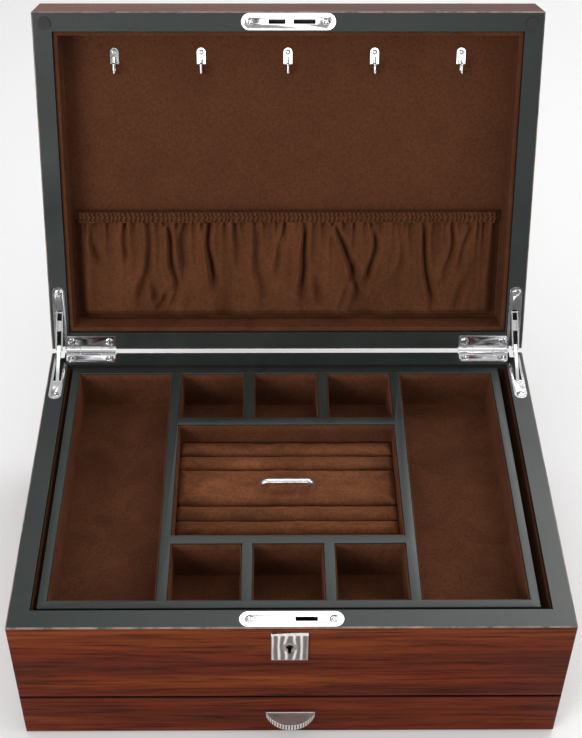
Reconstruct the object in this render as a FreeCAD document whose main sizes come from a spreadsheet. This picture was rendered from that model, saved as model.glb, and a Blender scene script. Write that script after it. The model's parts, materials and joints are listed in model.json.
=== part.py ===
"""A lockable two-tier wooden jewelry box: a case with a drawer, a lift-out tray and a stayed lid.

The part frame has its origin at the middle of the case's underside, +X to the right, +Y to the
back and +Z up.  The case stands closed below, and the lid is drawn in a frame of its own, whose
origin is on the hinge axis, and is then swung open by lid_open.
"""

import FreeCAD, Part
import os
import re

doc = FreeCAD.newDocument("jewelry_box")

# ---------------------------------------------------------------- driving dimensions, millimetres

SIZES = {
    # the box as a whole
    "case_width": 350.0,
    "case_depth": 248.0,
    "case_height": 115.0,
    "lid_height": 38.0,
    "wall": 13.4,
    "edge_round": 1.0,
    "rim_gap": 1.2,
    "lid_open": 110.0,
    "fit": 0.1,
    # boards and linings of the case
    "felt": 1.0,
    "felt_inset": 1.5,
    "bottom_board": 6.0,
    "divider_board": 5.0,
    "drawer_bay_top": 42.0,
    "lining": 1.0,
    "lining_drop": 2.5,
    "ledge_width": 10.0,
    # lid
    "lid_board": 10.0,
    "lid_panel_depth": 24.0,
    "lid_lining": 4.0,
    "lid_lining_drop": 2.0,
    "bumper_radius": 4.5,
    "bumper_height": 0.9,
    "bumper_inset_x": 8.5,
    "bumper_inset_y": 8.0,
    # pocket and hooks in the lid
    "pocket_top": 147.0,
    "pocket_bulge": 9.0,
    "pocket_cloth": 1.2,
    "pocket_side_gap": 1.6,
    "soft_gap": 0.3,
    "band_height": 8.0,
    "band_thickness": 2.0,
    "hook_count": 5.0,
    "hook_pitch": 61.0,
    "hook_top": 28.6,
    "hook_plate_length": 11.3,
    "hook_plate_width": 6.0,
    "hook_plate_thickness": 1.0,
    "hook_wire": 1.0,
    "hook_bend": 3.4,
    "hook_tip_rise": 4.3,
    "hook_screw_head": 1.8,
    "hook_screw_shank": 0.8,
    # tray
    "tray_play_x": 8.2,
    "tray_play_y": 2.4,
    "tray_width": "=case_width - 2 * (wall + lining) - tray_play_x",
    "tray_depth": "=case_depth - 2 * (wall + lining) - tray_play_y",
    "tray_height": 36.0,
    "tray_drop": 2.0,
    "tray_shift_x": -1.5,
    "tray_shift_y": 0.9,
    "tray_wall": 6.0,
    "tray_floor": 3.0,
    "tray_divider": 7.0,
    "tray_lining": 0.8,
    "tray_lining_drop": 1.0,
    "seat_gap": 0.2,
    "long_bay_width": 67.4,
    "small_bay_depth": 45.2,
    "ring_base_height": 8.0,
    "ring_drop": 14.5,
    "ring_pitch": 13.2,
    "ring_gap": 0.6,
    "handle_span": 34.0,
    "handle_rod": 2.3,
    "handle_bend": 4.0,
    "handle_drop": 4.0,
    "handle_shift_y": 2.0,
    # drawer
    "drawer_face_gap": 0.8,
    "drawer_top_gap": 1.2,
    "drawer_foot_gap": 1.6,
    "drawer_side_gap": 1.2,
    "drawer_board": 9.0,
    "drawer_floor": 3.0,
    "drawer_floor_lift": 1.5,
    "drawer_side_height": 27.0,
    "drawer_back_gap": 10.6,
    "drawer_kept": 68.0,
    "drawer_travel": "=case_depth - drawer_kept",
    "runner_width": 12.0,
    "runner_height": 1.5,
    "stop_width": 60.0,
    "stop_height": 5.0,
    "pull_width": 32.0,
    "pull_reach": 10.0,
    "pull_thickness": 5.5,
    "pull_top": 23.7,
    "pull_screw_spacing": 16.0,
    # hinges, measured from the hinge axis
    "hinge_setback": 1.0,
    "barrel_radius": 3.0,
    "barrel_clearance": 0.5,
    "pin_radius": 1.5,
    "pin_play": 0.05,
    "barrel_inner_x": 47.5,
    "barrel_outer_x": 11.0,
    "knuckle_end": 10.4,
    "knuckle_gap": 0.3,
    "leaf_thickness": 1.6,
    "leaf_back_width": 11.5,
    "leaf_side_length": 50.0,
    "leaf_side_width": 9.2,
    "leaf_edge_inset": 2.6,
    "hinge_screw_side": 45.4,
    "hinge_screw_back": 7.2,
    "hinge_screw_first": 15.0,
    "hinge_screw_second": 43.0,
    # folding stays
    "stay_pivot": 29.5,
    "stay_depth": 2.9,
    "stay_stretch": 1.004,
    "stay_pin": 1.0,
    "stay_eye": 2.3,
    "stay_fork": 5.0,
    "stay_cheek": 0.9,
    "stay_tongue": 2.6,
    "stay_play": 0.3,
    "stay_web_start": 6.0,
    "stay_web_end": 14.0,
    "lug_thickness": 1.2,
    "lug_half": 2.4,
    # screws
    "screw_head": 2.7,
    "screw_head_depth": 1.4,
    "screw_shank": 1.2,
    "screw_length": 8.0,
    # lock
    "plate_length": 64.5,
    "plate_width": 11.5,
    "plate_thickness": 1.5,
    "plate_screw_x": 26.0,
    "lock_slot_low": 2.3,
    "lock_slot_high": 16.0,
    "slot_width": 3.2,
    "strike_slot_low": 3.4,
    "strike_slot_high": 18.5,
    "strike_blind_low": -13.7,
    "strike_blind_high": -2.0,
    "strike_pocket": 6.5,
    "strike_pocket_margin": 1.5,
    "lock_body_low": -17.0,
    "lock_body_high": 22.0,
    "lock_body_depth": 29.5,
    "lock_body_width": 9.2,
    "lock_sheet": 1.2,
    "hook_pivot_x": -0.5,
    "hook_pivot_drop": 11.0,
    "hook_outer": 17.4,
    "hook_inner": 14.8,
    "hook_hub": 3.2,
    "hook_pin": 1.5,
    "hook_thickness": 2.4,
    "hook_start": -60.0,
    "hook_sweep": 88.0,
    "hook_spoke": 22.0,
    "keyhole_x": -1.2,
    "keyhole_drop": 18.0,
    "keyhole_radius": 2.4,
    "keyhole_slot": 2.2,
    "keyhole_length": 6.5,
    "key_post": 1.2,
    "escutcheon_width": 23.0,
    "escutcheon_height": 27.0,
    "escutcheon_top": 4.5,
    "escutcheon_thickness": 1.5,
}

sheet = doc.addObject("Spreadsheet::Sheet", "Dims")
for row, (alias, number) in enumerate(SIZES.items(), start=1):
    sheet.set(f"A{row}", alias)
    sheet.set(f"B{row}", str(number))
    sheet.setAlias(f"B{row}", alias)
doc.recompute()

# Formulas that several pieces share.  Each is text in the sheet's own names.
INNER_X = "(case_width / 2 - wall)"
INNER_Y = "(case_depth / 2 - wall)"
FRONT = "(-case_depth / 2)"
WALL_MID_Y = "(-case_depth / 2 + wall / 2)"
AXIS_Y = "(case_depth / 2 + hinge_setback)"
AXIS_Z = "(case_height + rim_gap / 2)"
CASE_FLOOR = "(felt + bottom_board)"
UPPER_FLOOR = "(drawer_bay_top + divider_board)"

OPEN = "(lid_open * 1 deg)"
LID_BACK = "(-hinge_setback)"
LID_FRONT = "(-hinge_setback - case_depth)"
LID_RIM = "(rim_gap / 2)"
LID_TOP = "(rim_gap / 2 + lid_height)"
LID_WALL_MID_Y = "(-hinge_setback - case_depth + wall / 2)"
LID_PANEL = "(rim_gap / 2 + lid_panel_depth)"
LID_BOARD_LOW = "(rim_gap / 2 + lid_height - lid_board)"

TRAY_TOP = "(case_height - tray_drop)"
TRAY_LOW = "(case_height - tray_drop - tray_height)"
TRAY_FLOOR_TOP = "(case_height - tray_drop - tray_height + tray_floor)"


# ---------------------------------------------------------------------------- drawing helpers

NODES = []


def bound(formula):
    """Point every size name in a formula at the sheet."""
    return re.sub("[a-z_]+", lambda word: ("Dims." if word.group() in SIZES else "") + word.group(), formula)


def bind(piece, **formulas):
    """Bind properties of a piece to formulas; a double underscore stands for a dot."""
    for name, formula in formulas.items():
        piece.setExpression(name.replace("__", "."), bound(str(formula)))
    return piece


def place(piece, x="0", y="0", z="0"):
    return bind(piece, Placement__Base__x=x, Placement__Base__y=y, Placement__Base__z=z)


def box(name, x, y, z):
    """A block between the low and the high formula of each axis."""
    piece = doc.addObject("Part::Box", name)
    for side, (low, high) in zip(("Length", "Width", "Height"), (x, y, z)):
        bind(piece, **{side: f"({high}) - ({low})"})
    return place(piece, x[0], y[0], z[0])


TURNS = {
    "x": FreeCAD.Rotation(FreeCAD.Vector(0, 1, 0), 90),
    "y": FreeCAD.Rotation(FreeCAD.Vector(1, 0, 0), -90),
    "z": FreeCAD.Rotation(),
}


def rod(name, along, centre, radius, low, high):
    """A round bar along one axis; centre gives the other two coordinates in x, y, z order."""
    piece = doc.addObject("Part::Cylinder", name)
    piece.Placement = FreeCAD.Placement(FreeCAD.Vector(), TURNS[along])
    bind(piece, Radius=radius, Height=f"({high}) - ({low})")
    spots = {"x": (low, *centre), "y": (centre[0], low, centre[1]), "z": (*centre, low)}[along]
    return place(piece, *spots)


def fuse(name, *pieces):
    piece = doc.addObject("Part::MultiFuse", name)
    piece.Shapes = list(pieces)
    return piece


def cut(name, base, *tools):
    piece = doc.addObject("Part::Cut", name)
    piece.Base = base
    piece.Tool = tools[0] if len(tools) == 1 else fuse(name + "_tools", *tools)
    return piece


def common(name, first, second):
    piece = doc.addObject("Part::Common", name)
    piece.Base = first
    piece.Tool = second
    return piece


def group(name, *pieces):
    """Separate solids kept side by side in one object."""
    piece = doc.addObject("Part::Compound", name)
    piece.Links = list(pieces)
    return piece


def rounded(name, piece, size, chosen=lambda edge: True):
    """Round the chosen edges of a piece by one of the sheet's sizes."""
    doc.recompute()
    radius = sheet.get(size)
    fillet = doc.addObject("Part::Fillet", name)
    fillet.Base = piece
    fillet.Edges = [(n, radius, radius) for n, edge in enumerate(piece.Shape.Edges, start=1) if chosen(edge)]
    return fillet


def node(label, piece, in_lid=False):
    """Hand a finished sub-part in; one drawn in the lid's frame swings open with the lid."""
    holder = group(label + "_node", piece)
    holder.Label = label
    if in_lid:
        swing(holder, "0", AXIS_Y, AXIS_Z, OPEN)
    NODES.append(holder)
    return holder


def swing(piece, x, y, z, angle):
    """Place a piece and turn it about its own X axis, upwards and back."""
    piece.Placement = FreeCAD.Placement(FreeCAD.Vector(), FreeCAD.Rotation(FreeCAD.Vector(-1, 0, 0), 90))
    bind(piece, Placement__Rotation__Angle=angle)
    return place(piece, x, y, z)


def sided(side, pair):
    """A pair of distances from the middle, on the left or on the right."""
    low, high = pair
    return (low, high) if side == "right" else (f"-({high})", f"-({low})")


def spot(side, distance):
    return distance if side == "right" else f"-({distance})"


SIDES = ("left", "right")


def centred(length):
    return (f"-({length}) / 2", f"({length}) / 2")


def mitred_board(name, quarter_turns, length, reach, z, middle_y="0"):
    """One board of a four-sided frame, its ends mitred; no turns is the front one."""
    board = doc.addObject("Part::Wedge", name)
    turn = FreeCAD.Rotation(FreeCAD.Vector(0, 0, 1), 90 * quarter_turns)
    board.Placement = FreeCAD.Placement(FreeCAD.Vector(), turn)
    bind(board, Xmin=f"-({length}) / 2", Xmax=f"({length}) / 2", Ymin=f"-({reach})", Ymax=f"-({reach}) + wall")
    bind(board, X2min=f"-({length}) / 2 + wall", X2max=f"({length}) / 2 - wall")
    bind(board, Zmin=z[0], Z2min=z[0], Zmax=z[1], Z2max=z[1])
    return place(board, "0", middle_y, "0")


def screws(name, places, down, grow="0"):
    """Countersunk screws, heads flush at each place; down is the way they point, 1 or -1 in z."""
    made = []
    for n, (x, y, z) in enumerate(places, start=1):
        head = doc.addObject("Part::Cone", f"{name}_head_{n}")
        top = f"screw_head + ({grow})"
        low = f"screw_shank + ({grow})"
        bind(head, Height="screw_head_depth")
        if down > 0:
            bind(head, Radius1=top, Radius2=low)
            place(head, x, y, z)
            shank = (f"({z}) + screw_head_depth", f"({z}) + screw_length + ({grow})")
        else:
            bind(head, Radius1=low, Radius2=top)
            place(head, x, y, f"({z}) - screw_head_depth")
            shank = (f"({z}) - screw_length - ({grow})", f"({z}) - screw_head_depth")
        made.append(fuse(f"{name}_{n}", head, rod(f"{name}_shank_{n}", "z", (x, y), low, *shank)))
    return group(name, *made)


def open_tub(name, x, y, z, skin):
    """A lining: four walls and a floor of one thickness, open above."""
    hollow = [(f"({low}) + {skin}", f"({high}) - {skin}") for low, high in (x, y)]
    inside = box(name + "_inside", *hollow, (f"({z[0]}) + {skin}", f"({z[1]}) + {skin}"))
    return cut(name, box(name + "_outside", x, y, z), inside)


def ring(name, x, y, z, skin):
    """Four walls of one thickness, open above and below."""
    hollow = [(f"({low}) + {skin}", f"({high}) - {skin}") for low, high in (x, y)]
    inside = box(name + "_inside", *hollow, (f"({z[0]}) - {skin}", f"({z[1]}) + {skin}"))
    return cut(name, box(name + "_outside", x, y, z), inside)


# ------------------------------------------------------------------- hinge leaves, screws, stays
# Everything here is measured from the hinge axis.  away is -1 for the case's half and 1 for the
# lid's, and base is where the axis lies in the frame of that half.

HALVES = {"case": (-1, (AXIS_Y, AXIS_Z)), "lid": (1, ("0", "0"))}
KNUCKLE_LOW = "(case_width / 2 - barrel_inner_x)"
KNUCKLE_HIGH = "(case_width / 2 - barrel_outer_x)"
SIDE_ARM = ("case_width / 2 - leaf_edge_inset - leaf_side_width", "case_width / 2 - leaf_edge_inset")
ARM_MID = "(case_width / 2 - leaf_edge_inset - leaf_side_width / 2)"


def levels(half, near, far):
    """A span measured away from the hinge axis, into the case or into the lid."""
    away, (axis_y, axis_z) = HALVES[half]
    low, high = (near, far) if away > 0 else (f"-({far})", f"-({near})")
    return (f"{axis_z} + ({low})", f"{axis_z} + ({high})")


def ahead(half, far, near):
    """A span in front of the hinge axis."""
    axis_y = HALVES[half][1][0]
    return (f"{axis_y} - ({far})", f"{axis_y} - ({near})")


def leaf_blank(name, half, side, z, grow="0"):
    """The L-shaped outline of a hinge leaf: an arm along the back and one along the side."""
    g = f"({grow})"
    back_x = sided(side, (f"{KNUCKLE_LOW} - {g}", f"{SIDE_ARM[1]} + {g}"))
    side_x = sided(side, (f"{SIDE_ARM[0]} - {g}", f"{SIDE_ARM[1]} + {g}"))
    back_y = ahead(half, f"leaf_back_width + {g}", "hinge_setback")
    side_y = ahead(half, "leaf_side_length - leaf_side_width / 2", "hinge_setback")
    end_radius = f"leaf_side_width / 2 + {g}"
    end_y = f"{HALVES[half][1][0]} - leaf_side_length + leaf_side_width / 2"
    return fuse(
        name,
        box(name + "_back_arm", back_x, back_y, z),
        box(name + "_side_arm", side_x, side_y, z),
        rod(name + "_end", "z", (spot(side, ARM_MID), end_y), end_radius, *z),
    )


def barrel(name, half, side, low, high, radius):
    axis_y, axis_z = HALVES[half][1]
    return rod(name, "x", (axis_y, axis_z), radius, *sided(side, (low, high)))


def stay_slot(name, half, side, z):
    width = "(stay_fork / 2 + stay_play)"
    x = sided(side, (f"{ARM_MID} - {width}", f"{ARM_MID} + {width}"))
    return box(name, x, ahead(half, "stay_pivot + stay_eye + stay_play", "0"), z)


def hinge_screw_places(half):
    """Where the screws of both leaves of one half stand, on the outer face of the leaf."""
    away, (axis_y, axis_z) = HALVES[half]
    surface = f"{axis_z} + ({away}) * rim_gap / 2"
    places = []
    for side in SIDES:
        places.append((spot(side, ARM_MID), f"{axis_y} - hinge_screw_side", surface))
        for inset in ("hinge_screw_first", "hinge_screw_second"):
            back_x = spot(side, f"(case_width / 2 - {inset})")
            places.append((back_x, f"{axis_y} - hinge_screw_back", surface))
    return places


def hinge_room(name, half, side):
    """What a frame of boards loses to a hinge: the leaf's seat, the barrel's notch, the stay's mortise."""
    seat_z = levels(half, "-rim_gap", "rim_gap / 2 + leaf_thickness")
    seat = leaf_blank(name + "_seat", half, side, seat_z, "fit")
    notch = barrel(
        name + "_notch", half, side, f"{KNUCKLE_LOW} - barrel_clearance",
        f"{KNUCKLE_HIGH} + barrel_clearance", "barrel_radius + barrel_clearance",
    )
    width = f"(stay_fork / 2 + stay_play + lug_thickness + fit)"
    mortise_x = sided(side, (f"{ARM_MID} - {width}", f"{ARM_MID} + {width}"))
    deep = "rim_gap / 2 + stay_depth + stay_eye + stay_play"
    mortise_y = ahead(half, "stay_pivot + stay_eye + stay_play + lug_half", "-1")
    mortise = box(name + "_mortise", mortise_x, mortise_y, levels(half, "0", deep))
    return fuse(name, seat, notch, mortise)


def hinge_leaf(half, side, screw_holes):
    """One leaf: the L plate, its knuckles, the slot for the stay and the two lugs of the stay's pin."""
    name = f"hinge_{half}_leaf_{side}"
    plate_z = levels(half, "rim_gap / 2", "rim_gap / 2 + leaf_thickness")
    axis_y, axis_z = HALVES[half][1]
    first = (KNUCKLE_LOW, f"{KNUCKLE_LOW} + knuckle_end")
    last = (f"{KNUCKLE_HIGH} - knuckle_end", KNUCKLE_HIGH)
    middle = (f"{first[1]} + knuckle_gap", f"{last[0]} - knuckle_gap")
    own, other = ([first, last], [middle]) if half == "case" else ([middle], [first, last])
    knuckles = [
        barrel(f"{name}_knuckle_{n}", half, side, *span, "barrel_radius")
        for n, span in enumerate(own)
    ]
    room = [
        barrel(
            f"{name}_room_{n}", half, side, f"{span[0]} - knuckle_gap",
            f"{span[1]} + knuckle_gap", "barrel_radius + barrel_clearance / 2",
        )
        for n, span in enumerate(other)
    ]
    bore_span = (f"{KNUCKLE_LOW} - 1", f"{KNUCKLE_HIGH} + 1")
    bore = barrel(name + "_bore", half, side, *bore_span, "pin_radius + pin_play")
    lug_y = ahead(half, "stay_pivot + lug_half", "stay_pivot - lug_half")
    lug_z = levels(half, "rim_gap / 2 + leaf_thickness", "rim_gap / 2 + stay_depth + stay_eye")
    lugs = []
    for edge, (near, far) in enumerate((("-1", "0"), ("0", "1"))):
        inner = f"{ARM_MID} + ({near}) * lug_thickness + ({near} + {far}) * (stay_fork / 2 + stay_play)"
        outer = f"{ARM_MID} + ({far}) * lug_thickness + ({near} + {far}) * (stay_fork / 2 + stay_play)"
        lugs.append(box(f"{name}_lug_{edge}", sided(side, (inner, outer)), lug_y, lug_z))
    pin_z = levels(half, "rim_gap / 2 + stay_depth", "rim_gap / 2 + stay_depth")[0]
    pin_reach = "stay_fork / 2 + stay_play + lug_thickness + 1"
    pin_hole = rod(
        name + "_pin_hole", "x", (f"{axis_y} - stay_pivot", pin_z), "stay_pin",
        *sided(side, (f"{ARM_MID} - ({pin_reach})", f"{ARM_MID} + ({pin_reach})")),
    )
    blank = cut(name + "_blank", leaf_blank(name + "_outline", half, side, plate_z), *room)
    body = fuse(name + "_body", blank, *knuckles, *lugs)
    slot_z = levels(half, "-rim_gap", "rim_gap / 2 + leaf_thickness + fit")
    slot = stay_slot(name + "_slot", half, side, slot_z)
    return cut(name + "_cut", body, bore, slot, pin_hole, screw_holes)


def stay_pins(half):
    """The pins that the two links of one half turn on, held in the leaves' lugs."""
    axis_y, axis_z = HALVES[half][1]
    pin_z = levels(half, "rim_gap / 2 + stay_depth", "rim_gap / 2 + stay_depth")[0]
    reach = "(stay_fork / 2 + stay_play + lug_thickness)"
    pins = []
    for side in SIDES:
        span = sided(side, (f"{ARM_MID} - {reach}", f"{ARM_MID} + {reach}"))
        pin_at = (f"{axis_y} - stay_pivot", pin_z)
        pins.append(rod(f"stay_{half}_pin_{side}", "x", pin_at, "stay_pin", *span))
    return group(f"stay_{half}_pin_pair", *pins)


# The stay's two links are equal, so with the lid open each rises from its own rim by the same angle.
STAY_E = "(rim_gap / 2 + stay_depth)"
STAY_REACH = f"sqrt(stay_pivot ^ 2 + {STAY_E} ^ 2)"
STAY_HALF_ANGLE = f"({OPEN} / 2 + atan({STAY_E} / stay_pivot))"
STAY_LINK = f"({STAY_REACH} * sin({STAY_HALF_ANGLE}) * stay_stretch)"
STAY_RISE = f"(90 deg - {OPEN} / 2 - acos(1 / stay_stretch))"


def link_blade(name, x, web=None):
    """A flat bar with round ends, along +Y from its pivot at the origin."""
    blade = fuse(
        name + "_blank",
        box(name + "_bar", x, ("0", STAY_LINK), ("-stay_eye", "stay_eye")),
        rod(name + "_near_end", "x", ("0", "0"), "stay_eye", *x),
        rod(name + "_far_end", "x", (STAY_LINK, "0"), "stay_eye", *x),
    )
    return cut(name, blade, rod(name + "_eye", "x", ("0", "0"), "stay_pin + pin_play", *x))


def stay_link(half, side):
    """The case's link is a single tongue, and the lid's is a fork of two cheeks and a web."""
    name = f"stay_{half}_link_{side}"
    if half == "case":
        link = link_blade(name + "_tongue", centred("stay_tongue"))
    else:
        low, high = centred("stay_fork")
        cheeks = [
            link_blade(name + "_cheek_low", (low, f"{low} + stay_cheek")),
            link_blade(name + "_cheek_high", (f"{high} - stay_cheek", high)),
        ]
        web_z = ("stay_eye - stay_cheek", "stay_eye")
        web = box(name + "_web", (low, high), ("stay_web_start", "stay_web_end"), web_z)
        link = fuse(name + "_fork", *cheeks, web)
    return link


# -------------------------------------------------------------------------------- case boards

case_plan = (centred("case_width"), centred("case_depth"))
upper_block = rounded(
    "upper_block",
    box("upper_block_plain", *case_plan, ("drawer_bay_top", "case_height")),
    "edge_round",
)
case_block = rounded(
    "case_block",
    box("case_block_plain", *case_plan, ("felt", "case_height")),
    "edge_round",
)
case_hinge_screws = screws("case_hinge_screw", hinge_screw_places("case"), -1)
case_hinge_holes = screws("case_hinge_hole", hinge_screw_places("case"), -1, "fit / 2")
case_rooms = {side: hinge_room("case_hinge_room_" + side, "case", side) for side in SIDES}

# The lock stands in the middle of the front board, under its plate.
LOCK_FRONT = f"({WALL_MID_Y} - lock_body_width / 2)"
LOCK_BACK = f"({WALL_MID_Y} + lock_body_width / 2)"
PLATE_LOW = "(case_height - plate_thickness)"
KEY_Z = "(case_height - keyhole_drop)"


def pill(name, z, middle_y, grow="0"):
    """A long plate with round ends."""
    reach = "(plate_length / 2 - plate_width / 2)"
    radius = f"(plate_width / 2 + {grow})"
    return fuse(
        name,
        box(name + "_bar", (f"-{reach}", reach), (f"{middle_y} - {radius}", f"{middle_y} + {radius}"), z),
        rod(name + "_left_end", "z", (f"-{reach}", middle_y), radius, *z),
        rod(name + "_right_end", "z", (reach, middle_y), radius, *z),
    )


def keyhole(name, front, back):
    """A round hole with a slot below it, through the thickness given."""
    half_slot = "keyhole_slot / 2"
    slot_x = (f"keyhole_x - {half_slot}", f"keyhole_x + {half_slot}")
    return fuse(
        name,
        rod(name + "_round", "y", ("keyhole_x", KEY_Z), "keyhole_radius", front, back),
        box(name + "_slot", slot_x, (front, back), (f"{KEY_Z} - keyhole_length", KEY_Z)),
    )


def plate_screw_places(middle_y, z):
    return [(x, middle_y, z) for x in ("-plate_screw_x", "plate_screw_x")]


lock_screws = screws("lock_screw", plate_screw_places(WALL_MID_Y, "case_height"), -1)
lock_screw_holes = screws("lock_screw_hole", plate_screw_places(WALL_MID_Y, "case_height"), -1, "fit / 2")
lock_mortise = box(
    "lock_mortise",
    ("lock_body_low - fit", "lock_body_high + fit"),
    (f"{LOCK_FRONT} - fit", f"{LOCK_BACK} + fit"),
    (f"{PLATE_LOW} - lock_body_depth - fit", "case_height"),
)
front_board = common(
    "front_board",
    upper_block,
    mitred_board("front_mitre", 0, "case_width", "case_depth / 2", ("drawer_bay_top", "case_height")),
)
node("case_front", cut(
    "case_front_cut", front_board, lock_mortise, lock_screw_holes,
    pill("lock_plate_seat", (PLATE_LOW, "case_height + 1"), WALL_MID_Y, "fit"),
    keyhole("board_keyhole", f"{FRONT} - 1", WALL_MID_Y),
))

board_z = ("felt", "case_height")
back_mitre = mitred_board("back_mitre", 2, "case_width", "case_depth / 2", board_z)
back_board = common("back_board", case_block, back_mitre)
node("case_back", cut("case_back_cut", back_board, case_hinge_holes, *case_rooms.values()))

drawer_face_y = (f"{FRONT} - 1", f"{FRONT} + wall")
drawer_face_bay = box("drawer_face_bay", centred("case_width + 2"), drawer_face_y, ("0", "drawer_bay_top"))
for side, turns in (("left", 3), ("right", 1)):
    mitre = mitred_board(f"{side}_mitre", turns, "case_depth", "case_width / 2", board_z)
    rooms = (drawer_face_bay, case_hinge_holes, case_rooms[side])
    node(f"case_{side}_side", cut(f"case_{side}_cut", common(f"{side}_board", case_block, mitre), *rooms))

inner_x = (f"-{INNER_X}", INNER_X)
inner_y = (f"-{INNER_Y}", INNER_Y)
node("case_bottom", box("bottom_board_block", inner_x, inner_y, ("felt", CASE_FLOOR)))
node("case_divider", box("divider_board_block", inner_x, inner_y, ("drawer_bay_top", UPPER_FLOOR)))
felt_x = centred("case_width - 2 * felt_inset")
felt_y = (f"{FRONT} + wall + felt_inset", "case_depth / 2 - felt_inset")
node("base_felt", box("base_felt_sheet", felt_x, felt_y, ("0", "felt")))
wall_lining_z = (UPPER_FLOOR, "case_height - lining_drop")
node("case_wall_lining", ring("case_wall_ring", inner_x, inner_y, wall_lining_z, "lining"))
lined_x = (f"-{INNER_X} + lining", f"{INNER_X} - lining")
lined_y = (f"-{INNER_Y} + lining", f"{INNER_Y} - lining")
floor_lining_z = (UPPER_FLOOR, f"{UPPER_FLOOR} + lining")
node("case_floor_lining", box("case_floor_sheet", lined_x, lined_y, floor_lining_z))
node("tray_ledges", group("tray_ledge_pair", *[
    box(
        f"tray_ledge_{side}", sided(side, (f"{INNER_X} - lining - ledge_width", f"{INNER_X} - lining")),
        lined_y, (f"{UPPER_FLOOR} + lining", f"{TRAY_LOW} - seat_gap"),
    )
    for side in SIDES
]))

# --------------------------------------------------------------------------------------- lock

lock_slot_y = (f"{WALL_MID_Y} - slot_width / 2", f"{WALL_MID_Y} + slot_width / 2")
lock_slot_x = ("lock_slot_low", "lock_slot_high")
lock_slot_z = (f"{PLATE_LOW} - 1", "case_height + 1")
node("lock_plate", cut(
    "lock_plate_cut",
    pill("lock_plate_blank", (PLATE_LOW, "case_height"), WALL_MID_Y),
    box("lock_slot", lock_slot_x, lock_slot_y, lock_slot_z),
    lock_screw_holes,
))

HOOK_Z = "(case_height - hook_pivot_drop)"
lock_x = ("lock_body_low", "lock_body_high")
lock_y = (LOCK_FRONT, LOCK_BACK)
lock_inner_y = (f"{LOCK_FRONT} + lock_sheet", f"{LOCK_BACK} - lock_sheet")
lock_shell = cut(
    "lock_shell",
    box("lock_shell_outside", lock_x, lock_y, (f"{PLATE_LOW} - lock_body_depth", PLATE_LOW)),
    box(
        "lock_shell_inside", ("lock_body_low + lock_sheet", "lock_body_high - lock_sheet"), lock_inner_y,
        (f"{PLATE_LOW} - lock_body_depth + lock_sheet", "case_height"),
    ),
    keyhole("lock_keyhole", f"{LOCK_FRONT} - 1", f"{LOCK_FRONT} + lock_sheet + 1"),
)
node("lock_case", fuse(
    "lock_case_body", lock_shell,
    rod("lock_hook_pin", "y", ("hook_pivot_x", HOOK_Z), "hook_pin", *lock_inner_y),
    rod("lock_key_post", "y", ("keyhole_x", KEY_Z), "key_post", f"{LOCK_FRONT} + lock_sheet", lock_inner_y[1]),
))

hook_y = (f"{WALL_MID_Y} - hook_thickness / 2", f"{WALL_MID_Y} + hook_thickness / 2")


def hook_slice(name, radius, sweep):
    """A slice of a disc about the hook's pin, upwards from where the hook starts, seen from the front."""
    piece = rod(name, "y", ("hook_pivot_x", HOOK_Z), radius, *hook_y)
    last = sheet.get("hook_start") + sheet.get(sweep)
    piece.Placement.Rotation = TURNS["y"].multiply(FreeCAD.Rotation(FreeCAD.Vector(0, 0, 1), -last))
    return bind(piece, Angle=sweep)


hook_arc = cut(
    "hook_arc", hook_slice("hook_arc_outside", "hook_outer", "hook_sweep"),
    rod("hook_arc_inside", "y", ("hook_pivot_x", HOOK_Z), "hook_inner", *hook_y),
)
node("lock_bolt", cut(
    "lock_bolt_cut",
    fuse(
        "lock_bolt_body", hook_arc, hook_slice("hook_spoke_slice", "hook_outer - edge_round / 2", "hook_spoke"),
        rod("hook_hub_disc", "y", ("hook_pivot_x", HOOK_Z), "hook_hub", *hook_y),
    ),
    rod("hook_bore", "y", ("hook_pivot_x", HOOK_Z), "hook_pin + pin_play", *hook_y),
))

escutcheon_block = box(
    "escutcheon_block",
    ("keyhole_x - escutcheon_width / 2", "keyhole_x + escutcheon_width / 2"),
    (f"{FRONT} - escutcheon_thickness", FRONT),
    ("case_height - escutcheon_top - escutcheon_height", "case_height - escutcheon_top"),
)
escutcheon_hole = keyhole("escutcheon_keyhole", f"{FRONT} - escutcheon_thickness - 1", FRONT)
node("escutcheon", cut("escutcheon_cut", escutcheon_block, escutcheon_hole))

# -------------------------------------------------------------------------------- case hinges

for side in SIDES:
    node(f"hinge_case_leaf_{side}", hinge_leaf("case", side, case_hinge_holes))
hinge_pins = [
    barrel(f"hinge_pin_{side}", "case", side, KNUCKLE_LOW, KNUCKLE_HIGH, "pin_radius") for side in SIDES
]
node("hinge_pins", group("hinge_pin_set", *hinge_pins, stay_pins("case")))
node("case_screws", group("case_screw_set", case_hinge_screws, lock_screws))

for side in SIDES:
    link = group(f"stay_lower_{side}_link", stay_link("case", side))
    swing(link, spot(side, ARM_MID), f"{AXIS_Y} - stay_pivot", f"{AXIS_Z} - {STAY_E}", f"-{STAY_RISE}")
    node(f"stay_lower_link_{side}", link)
    link = group(f"stay_upper_{side}_link", stay_link("lid", side))
    swing(
        link, spot(side, ARM_MID),
        f"{AXIS_Y} - stay_pivot * cos({OPEN}) + {STAY_E} * sin({OPEN})",
        f"{AXIS_Z} + stay_pivot * sin({OPEN}) + {STAY_E} * cos({OPEN})",
        f"{OPEN} + {STAY_RISE}",
    )
    node(f"stay_upper_link_{side}", link)

# -------------------------------------------------------------------------------------- drawer

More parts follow.
